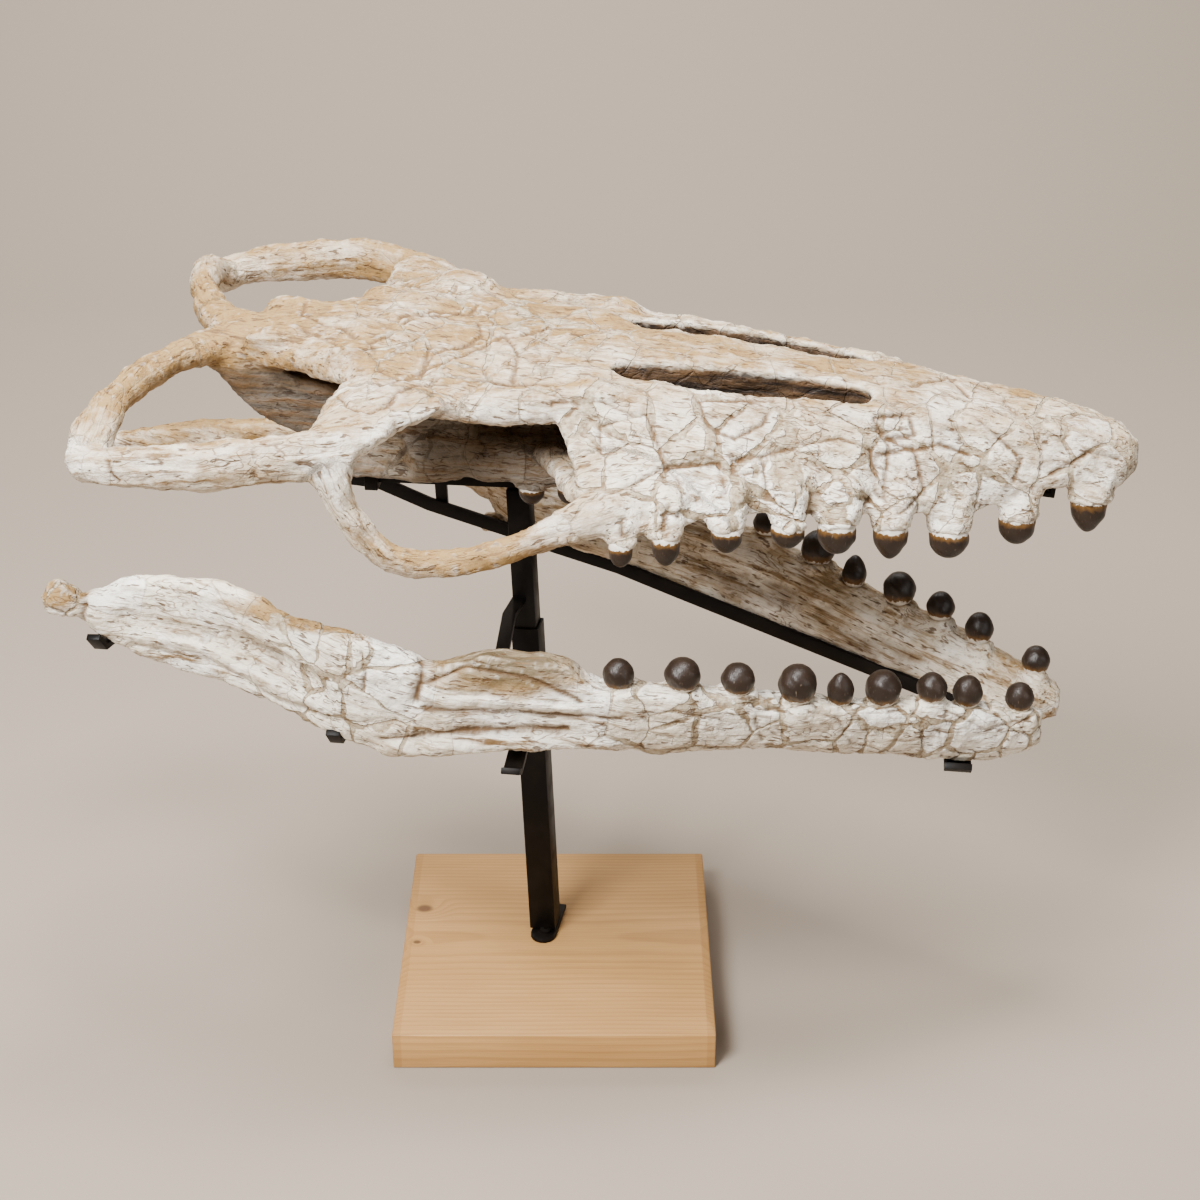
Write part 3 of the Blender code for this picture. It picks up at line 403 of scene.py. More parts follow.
# How far apart two fibre lines start in the pattern, so that no two bones match.
LINE_APART = 0.7
# Hollows are found by rounding the mesh: how many rounds, and the depth that counts as full.
PIT_ROUNDS, PIT_DEPTH = 5, 0.0010
BASIN_ROUNDS, BASIN_DEPTH = 40, 0.0045
BONE_TRIANGLES = 190000


def in_frame(points, yaw):
    """Points seen in the skull's or the jaws' own frame: x along, y to the left, z up."""
    x = points[:, 0] - POST_PLACE[0]
    y = points[:, 1] - POST_PLACE[1]
    return np.column_stack((x * math.cos(yaw) + y * math.sin(yaw),
                            y * math.cos(yaw) - x * math.sin(yaw), points[:, 2]))


def points_of(piece):
    """The points of a mesh, one row each."""
    points = np.empty(len(piece.data.vertices) * 3)
    piece.data.vertices.foreach_get("co", points)
    return points.reshape(-1, 3)


def write(piece, name, values):
    """Keeps one number or one vector for each point of the piece's mesh."""
    values = np.asarray(values, dtype=np.float32)
    kind = "FLOAT" if values.ndim == 1 else "FLOAT_VECTOR"
    layer = piece.data.attributes.new(name, kind, "POINT")
    layer.data.foreach_set("value" if kind == "FLOAT" else "vector", values.ravel())


def fibre_run(points, lines):
    """How far each point lies along its nearest bone, and to its two sides."""
    best = np.full(len(points), np.inf)
    run = np.zeros((len(points), 3))
    for number, (line, reach) in enumerate(lines):
        start = LINE_APART * number
        for low, high in zip(line, line[1:]):
            step = np.subtract(high, low)
            length = np.linalg.norm(step)
            ahead = step / length
            side = np.cross((0.0, 0.0, 1.0), ahead)
            side /= np.linalg.norm(side)
            lift = np.cross(ahead, side)
            offset = points - low
            share = np.clip(offset @ ahead / length, 0.0, 1.0)
            miss = np.linalg.norm(offset - share[:, None] * step, axis=1) - reach
            near = miss < best
            best[near] = miss[near]
            run[near, 0] = start + (offset @ ahead)[near]
            run[near, 1] = (offset @ side)[near]
            run[near, 2] = (offset @ lift)[near]
            start += length
    return run


def patches(points, spots, ground=0.0):
    """A smooth field: its ground value, drawn toward each spot's value near the spot."""
    field = np.full(len(points), ground)
    for centre, size, value in spots:
        away = (((points - centre) / size) ** 2).sum(axis=1)
        share = np.exp(-away ** 2)
        field += (value - field) * share
    return field


def bone_pattern(tree, place, run, filler):
    """Sockets for plates, their rims, hair cracks, fibres and pits, each from 0 to 1."""
    def noise(vector, scale, detail=3.0, output="Fac", rough=0.55):
        return noise_at(tree, vector, scale, detail, rough, output)

    def ramp(value, low, high, start=0.0, end=1.0):
        return mapped(tree, value, low, high, start, end)

    def product(one, other):
        return maths(tree, "MULTIPLY", one, other)

    def wandered(scale, size, detail):
        return vector_maths(tree, "MULTIPLY_ADD", noise(place, scale, detail, "Color"),
                            (size, size, size), place)

    def stretched(x, y):
        return vector_maths(tree, "MULTIPLY", run, (x, y, y))

    def line(value, repeat, low, high):
        """Thin contour lines of a field, repeated through its range."""
        turns = maths(tree, "FRACT", product(value, repeat))
        turns = maths(tree, "ABSOLUTE", maths(tree, "SUBTRACT", turns, 0.5))
        return ramp(turns, low, high, 1.0, 0.0)

    # Plates, with a gap between them that is wider in blotches and where there is filler.
    warped = wandered(21.0, 0.017, 6.0)
    edge = add_node(tree, "ShaderNodeTexVoronoi", {"Vector": warped, "Scale": PLATE_TURNS},
                    feature="DISTANCE_TO_EDGE").outputs["Distance"]
    cell = add_node(tree, "ShaderNodeTexVoronoi", {"Vector": warped, "Scale": PLATE_TURNS},
                    feature="F1").outputs["Color"]
    cell = add_node(tree, "ShaderNodeSeparateXYZ", {"Vector": cell}).outputs[0]
    blotch = noise(place, 30.0, 3.0)
    width = product(product(filler, filler), ramp(blotch, 0.38, 0.60, 0.012, 0.19))
    rim = maths(tree, "SUBTRACT", edge, width)
    gap = product(ramp(rim, 0.0, 0.016, 1.0, 0.0), ramp(filler, 0.08, 0.45))
    plate = ramp(gap, 0.0, 1.0, 1.0, 0.0)
    # A dark line at some plates' rims, and hair cracks in patches.
    shown = product(ramp(noise(place, 33.0, 3.0), 0.50, 0.62), ramp(filler, 0.08, 0.60))
    rim = maths(tree, "ABSOLUTE", rim)
    rim = product(ramp(rim, 0.002, 0.016, 1.0, 0.0), shown)
    hair = add_node(tree, "ShaderNodeTexVoronoi", {
        "Vector": wandered(44.0, 0.014, 5.0), "Scale": HAIR_TURNS},
        feature="DISTANCE_TO_EDGE").outputs["Distance"]
    hair = product(ramp(hair, 0.006, 0.024, 1.0, 0.0), ramp(noise(place, 31.0, 2.0), 0.56, 0.62))
    hair = product(hair, ramp(filler, 0.10, 0.70))
    # Along the bone: fibres, pits, contour lines of the grain, fine etching and smears.
    fibre = noise(stretched(15.0, 150.0), 1.0, 4.0, "Fac", 0.62)
    pits = ramp(noise(stretched(65.0, 290.0), 1.0, 2.0), 0.61, 0.67)
    grain = product(line(noise(stretched(13.0, 44.0), 1.0, 3.0), 15.0, 0.02, 0.15),
                    ramp(noise(place, 34.0, 3.0), 0.46, 0.60))
    etch = ramp(noise(stretched(34.0, 480.0), 1.0, 2.0), 0.57, 0.68)
    smear = noise(stretched(16.0, 62.0), 1.0, 5.0, "Fac", 0.6)
    return {"plate": plate, "rim": rim, "cell": cell, "hair": hair, "fibre": fibre,
            "pits": pits, "grain": grain, "etch": etch, "smear": smear}


def relief(piece):
    """Raises the plates and fibres, and swells the surface unevenly, in real geometry."""
    tree = bpy.data.node_groups.new("bone_relief", "GeometryNodeTree")
    tree.interface.new_socket("Geometry", in_out="INPUT", socket_type="NodeSocketGeometry")
    tree.interface.new_socket("Geometry", in_out="OUTPUT", socket_type="NodeSocketGeometry")
    incoming = add_node(tree, "NodeGroupInput").outputs[0]
    outgoing = add_node(tree, "NodeGroupOutput")
    place = add_node(tree, "GeometryNodeInputPosition").outputs[0]
    normal = add_node(tree, "GeometryNodeInputNormal").outputs[0]
    read = {}
    for name, kind in (("run", "FLOAT_VECTOR"), ("filler", "FLOAT"), ("streak", "FLOAT"),
                       ("rough", "FLOAT")):
        node = add_node(tree, "GeometryNodeInputNamedAttribute", {"Name": name}, data_type=kind)
        read[name] = node.outputs["Attribute"]
    found = bone_pattern(tree, place, read["run"], read["filler"])
    swell = noise_at(tree, place, 30.0, 5.0, 0.6)
    grit = noise_at(tree, place, 95.0, 3.0)
    total = None
    # What lifts the surface: a pattern, its full height, and how much of it each point takes.
    terms = [
        (found["plate"], 0.0016, read["filler"]), (found["cell"], 0.0036, read["filler"]),
        (swell, 0.0125, None),
        (found["hair"], -0.0006, None), (found["fibre"], 0.0040, read["streak"]),
        (grit, 0.0060, read["rough"]),
    ]
    for socket, size, share in terms:
        part = maths(tree, "MULTIPLY", maths(tree, "SUBTRACT", socket, 0.5), size)
        if share:
            part = maths(tree, "MULTIPLY", part, share)
        if total:
            part = maths(tree, "ADD", total, part)
        total = part
    shift = add_node(tree, "ShaderNodeVectorMath", {0: normal, "Scale": total},
                     operation="SCALE").outputs[0]
    moved = add_node(tree, "GeometryNodeSetPosition", {"Geometry": incoming, "Offset": shift})
    tree.links.new(moved.outputs[0], outgoing.inputs[0])
    settle(piece, "NODES", node_group=tree)


def normals_of(piece):
    """The normals at a mesh's points, one row each."""
    normals = np.empty(len(piece.data.vertices) * 3)
    piece.data.vertex_normals.foreach_get("vector", normals)
    return normals.reshape(-1, 3)


def hollows(piece, rounds, full):
    """How deep each point lies in a hollow, from -1 on a ridge to 1 in a pit."""
    points = points_of(piece)
    edges = np.empty(len(piece.data.edges) * 2, dtype=np.int64)
    piece.data.edges.foreach_get("vertices", edges)
    edges = edges.reshape(-1, 2)
    normals = normals_of(piece)
    count = np.bincount(edges.ravel(), minlength=len(points))[:, None].clip(1)
    spread = points.copy()
    for _ in range(rounds):
        total = np.zeros_like(spread)
        for axis in range(3):
            total[:, axis] += np.bincount(edges[:, 0], spread[edges[:, 1], axis], len(points))
            total[:, axis] += np.bincount(edges[:, 1], spread[edges[:, 0], axis], len(points))
        spread = 0.5 * spread + 0.5 * total / count
    depth = ((spread - points) * normals).sum(axis=1)
    return np.clip(depth / full, -1.0, 1.0)


# Fossil bone: cream plates stained gold and tan along their fibres, greige filler between
# them, brown cracks, contour lines and pits, paler ridges, soil and painted shade in small
# hollows, and painted shade, brown to near black, in broad hollows, nostrils and the skull.
PLATE_WHITE = "#f6f0e4"
PLATE_CREAM = "#e6dac4"
STAIN_TAN = "#98794c"
FLECK_TAN = "#8f6c38"
FIBRE_GOLD = "#98763f"
FIBRE_BROWN = "#5d4429"
FILLER_DARK = "#8a775b"
FILLER_PALE = "#c2b49c"
ROCK_DARK = "#54462f"
ROCK_PALE = "#94846a"
GRAIN_BROWN = "#725433"
CRACK_BROWN = "#573c20"
BASIN_SHADE = "#7d6a52"
PIT_SOIL_AND_SHADE = "#63482b"
RIDGE_PALE = "#f7f0e2"
UMBER_STAIN_AND_SHADE = "#4a3420"
SHADE_BLACK = "#1e140b"
SHADE_BROWN = "#5b4229"

bone, tree, shader, place = new_material("fossil_bone_and_filler")
read = {}
for name in ("run", "filler", "streak", "rough", "tan", "umber", "hollow", "basin", "matrix",
             "dark", "ink"):
    node = add_node(tree, "ShaderNodeAttribute", attribute_name=name)
    read[name] = node.outputs["Vector" if name == "run" else "Fac"]
found = bone_pattern(tree, place, read["run"], read["filler"])


def noise_of(scale, detail=4.0, rough=0.6):
    """A noise in the bone's own place, its scale in turns in a metre."""
    return noise_at(tree, place, scale, detail, rough)


def ramp_of(value, low, high, end=1.0):
    """A value turned into 0 at low and the end value at high."""
    return mapped(tree, value, low, high, 0.0, end)


def join(one, other, operation="ADD"):
    """Two values joined by one operation of maths."""
    return maths(tree, operation, one, other)


def tint_of(share, one, other):
    """A mix of two colours in the bone's own tree."""
    return mixed(tree, share, one, other)


stain = join(join(noise_of(17.0, 5.0, 0.62), found["smear"]), 0.5, "MULTIPLY")
level = join(stain, read["tan"])
fleck = join(ramp_of(noise_of(70.0), 0.52, 0.66), ramp_of(level, 0.50, 0.85), "MULTIPLY")
tint = tint_of(found["cell"], PLATE_WHITE, PLATE_CREAM)
tint = tint_of(ramp_of(level, 0.56, 0.86), tint, STAIN_TAN)
tint = tint_of(join(fleck, 0.60, "MULTIPLY"), tint, FLECK_TAN)
gold = join(ramp_of(found["fibre"], 0.50, 0.66), read["streak"], "MULTIPLY")
tint = tint_of(gold, tint, FIBRE_GOLD)
dash = join(join(read["streak"], 2.0, "POWER"), ramp_of(found["fibre"], 0.56, 0.64, 0.90),
            "MULTIPLY")
tint = tint_of(dash, tint, FIBRE_BROWN)
fill = tint_of(ramp_of(noise_of(110.0, 4.0, 0.7), 0.35, 0.65), FILLER_DARK, FILLER_PALE)
tint = tint_of(found["plate"], fill, tint)
crust = tint_of(ramp_of(found["fibre"], 0.40, 0.62), ROCK_DARK, ROCK_PALE)
tint = tint_of(read["matrix"], tint, crust)
drawn = join(join(found["grain"], 0.80, "MULTIPLY"),
             join(found["etch"], 0.65, "MULTIPLY"), "MAXIMUM")
tint = tint_of(drawn, tint, GRAIN_BROWN)
lines = join(join(found["rim"], 0.40, "MULTIPLY"),
             join(found["hair"], 0.70, "MULTIPLY"), "MAXIMUM")
lines = join(lines, join(read["ink"], ramp_of(noise_of(60.0), 0.32, 0.48), "MULTIPLY"),
             "MAXIMUM")
lines = join(lines, join(found["pits"], 0.85, "MULTIPLY"), "MAXIMUM")
tint = tint_of(lines, tint, CRACK_BROWN)
tint = tint_of(ramp_of(read["basin"], 0.10, 0.90, 0.60), tint, BASIN_SHADE)
# Small hollows turn brown: partly soil, partly painted shade.
tint = tint_of(ramp_of(read["hollow"], 0.14, 0.85, 0.85), tint, PIT_SOIL_AND_SHADE)
# Paler on ridges and convex edges.
tint = tint_of(ramp_of(read["hollow"], -0.30, -1.00, 0.40), tint, RIDGE_PALE)
# Umber: a brown stain on the far jaw's inner face, and painted shade inside the skull.
tint = tint_of(ramp_of(join(stain, read["umber"]), 0.70, 1.20), tint, UMBER_STAIN_AND_SHADE)
# Painted shade, brown to near black, where the dark field is: in the nostril slots and inside the
# eye socket.
painted_shade = tint_of(ramp_of(found["fibre"], 0.42, 0.66), SHADE_BLACK, SHADE_BROWN)
tint = tint_of(read["dark"], tint, painted_shade)
tree.links.new(tint, shader.inputs["Base Color"])
shader.inputs["Roughness"].default_value = 0.62
shader.inputs["Specular IOR Level"].default_value = 0.30
height = join(found["plate"], 0.9, "MULTIPLY")
for socket, size in ((lines, -0.8), (found["fibre"], 0.9), (found["grain"], -0.35),
                     (noise_of(140.0, 5.0, 0.65), 1.3), (noise_of(380.0, 4.0, 0.65), 0.5)):
    height = maths(tree, "MULTIPLY_ADD", socket, size, height)
fine_relief(tree, shader, height, 0.9, 0.0014)


def carve(piece, points, cuts):
    """Presses grooves into a bone, or raises ridges, and gives how inked each point is."""
    press = np.zeros(len(points))
    ink = np.zeros(len(points))
    for depth, width, path in cuts:
        away = np.full(len(points), np.inf)
        for low, high in zip(path, path[1:]):
            step = np.subtract(high, low)
            share = np.clip((points - low) @ step / (step @ step), 0.0, 1.0)
            away = np.minimum(away, np.linalg.norm(points - low - share[:, None] * step, axis=1))
        press += depth * np.exp(-(away / width) ** 2)
        if depth > 0.0 and width < INKED_WIDTH:
            ink = np.maximum(ink, np.exp(-(away / (INK_SHARE * width)) ** 2))
    moved = points_of(piece) - press[:, None] * normals_of(piece)
    piece.data.vertices.foreach_set("co", moved.ravel())
    piece.data.update()
    return ink


def make_bone(node, name, voxel, passes, yaw, lines, fields, cuts, dark=None):
    """A bone from its CAD solid: melted smooth, painted by region, then given relief, and
    last thinned where the mesh is finer than the limit."""
    piece = copy_of(node, name)
    settle(piece, "REMESH", mode="VOXEL", voxel_size=voxel)
    settle(piece, "SMOOTH", factor=0.5, iterations=passes)
    points = in_frame(points_of(piece), yaw)
    write(piece, "run", fibre_run(points, lines))
    for field, (ground, spots) in fields.items():
        values = patches(points, spots, ground)
        if field == "tan":
            values += SUN_TAN * np.clip(normals_of(piece)[:, 2], 0.0, 1.0) ** 3
        write(piece, field, values)
    # The dark field: how much painted shade each point takes.
    write(piece, "dark", dark(points) if dark else np.zeros(len(points)))
    write(piece, "ink", carve(piece, points, cuts))
    relief(piece)
    write(piece, "hollow", hollows(piece, PIT_ROUNDS, PIT_DEPTH))
    write(piece, "basin", hollows(piece, BASIN_ROUNDS, BASIN_DEPTH))
    count = len(piece.data.polygons) * 2
    if count > BONE_TRIANGLES:
        settle(piece, "DECIMATE", ratio=BONE_TRIANGLES / count)
    only(piece)
    bpy.ops.object.shade_smooth()
    place_piece(piece, bone, "fossil_bone", node)


# Skull. The upper bones as one glued piece: long snout, flat roof with two slots for the
# nostrils, and behind the eyes the arches that loop round the temples.
SKULL_VOXEL = 0.0022
SKULL_PASSES = 10
# The lines that the fibres follow, each with the radius of its bone.
skull_lines = [
    ([(0.53, 0.0, 0.58), (0.06, 0.0, 0.63)], 0.10),
    ([(0.06, 0.0, 0.64), (-0.26, 0.0, 0.66)], 0.06),
]
for side in (-1.0, 1.0):
    for path, reach in (
        ([(-0.126, 0.190, 0.634), (-0.160, 0.209, 0.638), (-0.200, 0.223, 0.640),
          (-0.240, 0.228, 0.635), (-0.318, 0.219, 0.628), (-0.346, 0.204, 0.622)], 0.016),
        ([(-0.278, 0.022, 0.652), (-0.304, 0.052, 0.652), (-0.325, 0.105, 0.652),
          (-0.336, 0.155, 0.648), (-0.339, 0.207, 0.624)], 0.015),
        ([(-0.140, 0.206, 0.616), (-0.132, 0.205, 0.592), (-0.098, 0.199, 0.548),
          (-0.074, 0.196, 0.540), (-0.034, 0.190, 0.543), (0.011, 0.184, 0.554),
          (0.086, 0.174, 0.576)], 0.013),
        ([(-0.060, 0.031, 0.560), (0.035, 0.038, 0.562), (0.130, 0.050, 0.578)], 0.02),
    ):
        skull_lines.append(([(x, side * y, z) for x, y, z in path], reach))

# One nostril slot from above as (x, y), and the roof there: x, middle height, edge (y, z).
NARIS = [
    (0.064, 0.060), (0.085, 0.071), (0.144, 0.078), (0.210, 0.070), (0.280, 0.056),
    (0.290, 0.043), (0.282, 0.031), (0.240, 0.030), (0.175, 0.034), (0.105, 0.041),
    (0.074, 0.049),
]
NARIS_ROOF = [(0.060, 0.661, 0.119, 0.647), (0.170, 0.652, 0.092, 0.643),
              (0.320, 0.634, 0.060, 0.626)]


def fade(values, full, none):
    """1 at the full value, 0 at the none value, smooth between them."""
    share = np.clip((values - none) / (full - none), 0.0, 1.0)
    return share * share * (3.0 - 2.0 * share)


def outside(x, y, outline):
    """How far each point lies outside a closed outline, less than 0 inside it."""
    away = np.full(len(x), np.inf)
    inside = np.zeros(len(x), dtype=bool)
    for (x0, y0), (x1, y1) in zip(outline, outline[1:] + outline[:1]):
        long, wide = x1 - x0, y1 - y0
        share = np.clip(((x - x0) * long + (y - y0) * wide) / (long ** 2 + wide ** 2), 0.0, 1.0)
        away = np.minimum(away, np.hypot(x - x0 - share * long, y - y0 - share * wide))
        inside ^= ((y0 > y) != (y1 > y)) & (x < x0 + (y - y0) * long / wide)
    return np.where(inside, -away, away)


def skull_painted_shade(points):
    """How much painted shade the bone takes: all of it down in the nostrils,
    part of it inside the eye socket.
    """
    x, y, z = points.T
    side = np.abs(y)
    at, *columns = np.array(NARIS_ROOF).T
    middle, edge_y, edge_z = (np.interp(x, at, column) for column in columns)
    # Each fade is given where it is full and where it ends, in metres.
    depth = middle - (middle - edge_z) * (side / edge_y) ** 2 - z
    slot = fade(outside(x, side, NARIS), 0.0030, 0.0060) * fade(depth, 0.0045, 0.0020)
    inner = (fade(side, 0.085, 0.115) * fade(z, 0.626, 0.640)
             * fade(x, 0.060, 0.085) * fade(x, -0.270, -0.300))
    return np.maximum(slot, inner * (0.70 + 0.18 * fade(x, -0.170, -0.150)))


# Broken plates and sutures, as grooves of one depth and width along lines on the bone.
SEAM_DEPTH, SEAM_WIDTH = 0.0020, 0.0023
SKULL_SEAMS = [(SEAM_DEPTH, SEAM_WIDTH, path) for path in (
    [(-0.150, 0.059, 0.677), (-0.137, 0.108, 0.665), (-0.102, 0.080, 0.669),
     (-0.061, 0.053, 0.667), (-0.065, 0.029, 0.668), (-0.098, 0.018, 0.672),
     (-0.114, -0.016, 0.674)],
    [(-0.114, -0.016, 0.674), (-0.094, 0.014, 0.671), (-0.055, 0.011, 0.666),
     (-0.047, -0.018, 0.664), (-0.065, -0.050, 0.663), (-0.086, -0.051, 0.666)],
    [(-0.086, -0.051, 0.666), (-0.086, -0.089, 0.659), (-0.097, -0.106, 0.658),
     (-0.115, -0.121, 0.657)],
    [(-0.086, -0.091, 0.659), (-0.062, -0.067, 0.661), (-0.028, -0.011, 0.664),
     (-0.012, -0.046, 0.661), (-0.010, -0.090, 0.653)],
    [(-0.014, -0.008, 0.663), (0.012, 0.012, 0.663), (0.063, 0.012, 0.661)],
    [(-0.082, -0.115, 0.656), (-0.037, -0.093, 0.653), (0.019, -0.094, 0.652),
     (0.026, -0.124, 0.646)],
    [(0.027, -0.123, 0.648), (0.066, -0.116, 0.648), (0.097, -0.119, 0.636)],
    [(-0.210, 0.024, 0.673), (-0.207, -0.002, 0.671), (-0.187, -0.018, 0.671),
     (-0.164, -0.032, 0.671), (-0.135, -0.062, 0.671), (-0.120, -0.048, 0.674),
     (-0.119, -0.010, 0.677), (-0.086, 0.019, 0.671)],
    [(-0.132, -0.065, 0.669), (-0.121, -0.094, 0.660), (-0.101, -0.109, 0.658),
     (-0.086, -0.100, 0.657), (-0.081, -0.062, 0.664), (-0.062, -0.043, 0.664),
     (-0.047, -0.031, 0.663)],
    [(-0.149, -0.133, 0.650), (-0.135, -0.159, 0.653), (-0.117, -0.169, 0.651),
     (-0.103, -0.155, 0.652), (-0.099, -0.135, 0.656), (-0.084, -0.112, 0.656)],
    [(-0.236, -0.036, 0.670), (-0.224, -0.015, 0.668), (-0.196, -0.032, 0.669),
     (-0.169, -0.052, 0.666), (-0.156, -0.071, 0.668)],
    [(-0.199, -0.216, 0.647), (-0.194, -0.232, 0.640), (-0.194, -0.233, 0.621)],
    [(-0.313, -0.230, 0.629), (-0.310, -0.234, 0.619), (-0.305, -0.234, 0.612)],
    [(0.066, -0.128, 0.631), (0.103, -0.116, 0.638), (0.111, -0.127, 0.625),
     (0.121, -0.144, 0.604), (0.094, -0.160, 0.593), (0.071, -0.175, 0.589),
     (0.066, -0.128, 0.631)],
    [(0.123, -0.144, 0.604), (0.164, -0.131, 0.604), (0.171, -0.157, 0.590),
     (0.136, -0.176, 0.575), (0.126, -0.178, 0.582), (0.134, -0.151, 0.596),
     (0.123, -0.144, 0.604)],
    [(0.144, -0.097, 0.644), (0.205, -0.078, 0.641), (0.198, -0.099, 0.627),
     (0.175, -0.114, 0.619), (0.154, -0.111, 0.628), (0.144, -0.097, 0.644)],
    [(0.174, -0.127, 0.606), (0.203, -0.116, 0.607), (0.200, -0.126, 0.596),
     (0.177, -0.136, 0.597), (0.174, -0.127, 0.606)],
    [(0.198, -0.118, 0.607), (0.260, -0.089, 0.613), (0.288, -0.087, 0.602),
     (0.288, -0.106, 0.565), (0.242, -0.127, 0.561), (0.204, -0.137, 0.579),
     (0.198, -0.118, 0.607)],
    [(0.291, -0.088, 0.598), (0.322, -0.075, 0.602), (0.334, -0.087, 0.566),
     (0.314, -0.110, 0.557), (0.293, -0.103, 0.571), (0.291, -0.088, 0.598)],
    [(0.090, -0.185, 0.576), (0.124, -0.180, 0.579), (0.123, -0.185, 0.569),
     (0.090, -0.190, 0.563), (0.090, -0.185, 0.576)],
    [(0.288, -0.070, 0.624), (0.317, -0.060, 0.625), (0.323, -0.069, 0.610),
     (0.298, -0.078, 0.609), (0.288, -0.070, 0.624)],
    [(0.292, -0.075, 0.616), (0.320, -0.077, 0.599), (0.345, -0.066, 0.602),
     (0.370, -0.063, 0.592)],
    [(0.440, -0.049, 0.572), (0.471, -0.036, 0.588), (0.497, -0.029, 0.579)],
    [(0.285, -0.037, 0.628), (0.302, -0.079, 0.605), (0.300, -0.104, 0.570)],
    [(0.320, -0.014, 0.633), (0.353, 0.021, 0.628), (0.370, -0.014, 0.625)],
    [(0.378, -0.047, 0.615), (0.414, -0.053, 0.586), (0.409, -0.059, 0.568)],
)]

# Fields: a ground value, then spots of (centre, size, value). They say how wide the filler
# between plates is, how streaked and how rough the bone is, how tan, how umber, and where it
# is still rock matrix.
skull_fields = {
    "filler": (0.30, [
        ((0.22, -0.13, 0.60), (0.17, 0.09, 0.06), 0.80),
        ((0.22, 0.13, 0.60), (0.17, 0.09, 0.06), 1.0),
        ((0.40, 0.0, 0.58), (0.09, 0.09, 0.05), 0.7),
        ((0.06, -0.12, 0.64), (0.05, 0.05, 0.04), 0.8),
        ((-0.24, 0.0, 0.62), (0.12, 0.30, 0.12), 0.05),
        ((-0.05, -0.19, 0.55), (0.10, 0.03, 0.05), 0.05),
        ((-0.05, 0.19, 0.55), (0.10, 0.03, 0.05), 0.05),
        ((-0.14, -0.20, 0.61), (0.05, 0.04, 0.08), 0.05),
        ((-0.05, 0.0, 0.66), (0.12, 0.14, 0.05), 0.55)]),
    "streak": (0.55, [
        ((-0.24, 0.0, 0.63), (0.12, 0.30, 0.12), 1.0),
        ((-0.05, -0.19, 0.55), (0.10, 0.03, 0.05), 0.6),
        ((-0.05, 0.19, 0.55), (0.10, 0.03, 0.05), 0.9),
        ((0.17, 0.0, 0.65), (0.14, 0.05, 0.03), 0.7)]),
    "rough": (0.15, [
        ((-0.09, 0.0, 0.67), (0.12, 0.12, 0.03), 0.5),
        ((-0.02, 0.0, 0.58), (0.10, 0.08, 0.05), 0.6)]),
    "tan": (0.14, [
        ((-0.10, 0.0, 0.67), (0.22, 0.16, 0.04), 0.20),
        ((0.20, 0.0, 0.65), (0.30, 0.05, 0.03), 0.20),
        ((-0.30, 0.0, 0.65), (0.10, 0.20, 0.05), 0.34),
        ((-0.15, 0.22, 0.64), (0.10, 0.06, 0.06), 0.34),
        ((-0.26, -0.10, 0.65), (0.10, 0.09, 0.06), 0.34),
        ((-0.04, -0.19, 0.545), (0.09, 0.03, 0.03), 0.40),
        ((-0.04, 0.19, 0.545), (0.09, 0.03, 0.03), 0.40),
        ((0.22, -0.13, 0.59), (0.15, 0.06, 0.04), 0.04)]),
    # On the skull, umber is painted shade: inside the braincase under the roof, and on the palate
    # under the snout.
    "umber": (-0.30, [
        ((-0.20, 0.0, 0.600), (0.07, 0.06, 0.030), 0.35),
        ((0.20, 0.0, 0.570), (0.30, 0.10, 0.016), 0.45)]),
    "matrix": (0.0, []),
}
make_bone("skull", "skull_bones", SKULL_VOXEL, SKULL_PASSES, SKULL_YAW, skull_lines,
          skull_fields, SKULL_SEAMS, skull_painted_shade)


# Right lower jaw, the near one: a long bone with a tooth row, a lump of rock matrix left
# behind the last tooth, a hollow in the deep rear bones and a broken knob at the end.
JAW_VOXEL = 0.0019
JAW_PASSES = 9
JAW_REACH = 0.03
near_line = [(0.456, -0.026, 0.322), (0.312, -0.104, 0.350), (0.192, -0.157, 0.378),
             (0.078, -0.192, 0.395), (-0.052, -0.211, 0.405), (-0.128, -0.219, 0.427),
             (-0.203, -0.198, 0.445), (-0.268, -0.181, 0.452), (-0.342, -0.184, 0.461)]
JAW_SEAM_DEPTH, JAW_SEAM_WIDTH = 0.0012, 0.0020
JAW_SEAMS = [(JAW_SEAM_DEPTH, JAW_SEAM_WIDTH, path) for path in (
    [(0.072, -0.198, 0.435), (0.118, -0.198, 0.403), (0.141, -0.173, 0.361)],
    [(0.142, -0.190, 0.407), (0.178, -0.175, 0.395), (0.202, -0.146, 0.350)],
    [(0.251, -0.147, 0.391), (0.276, -0.134, 0.379), (0.289, -0.120, 0.346),
     (0.335, -0.093, 0.326)],
    [(0.338, -0.101, 0.372), (0.365, -0.089, 0.345), (0.368, -0.075, 0.314)],
    [(0.176, -0.166, 0.414), (0.214, -0.162, 0.397), (0.256, -0.141, 0.395)],
    [(0.370, -0.086, 0.366), (0.404, -0.068, 0.340), (0.444, -0.042, 0.339)],
    [(0.319, -0.111, 0.376), (0.357, -0.093, 0.373)],
    [(0.208, -0.164, 0.390), (0.214, -0.153, 0.363)],
)]
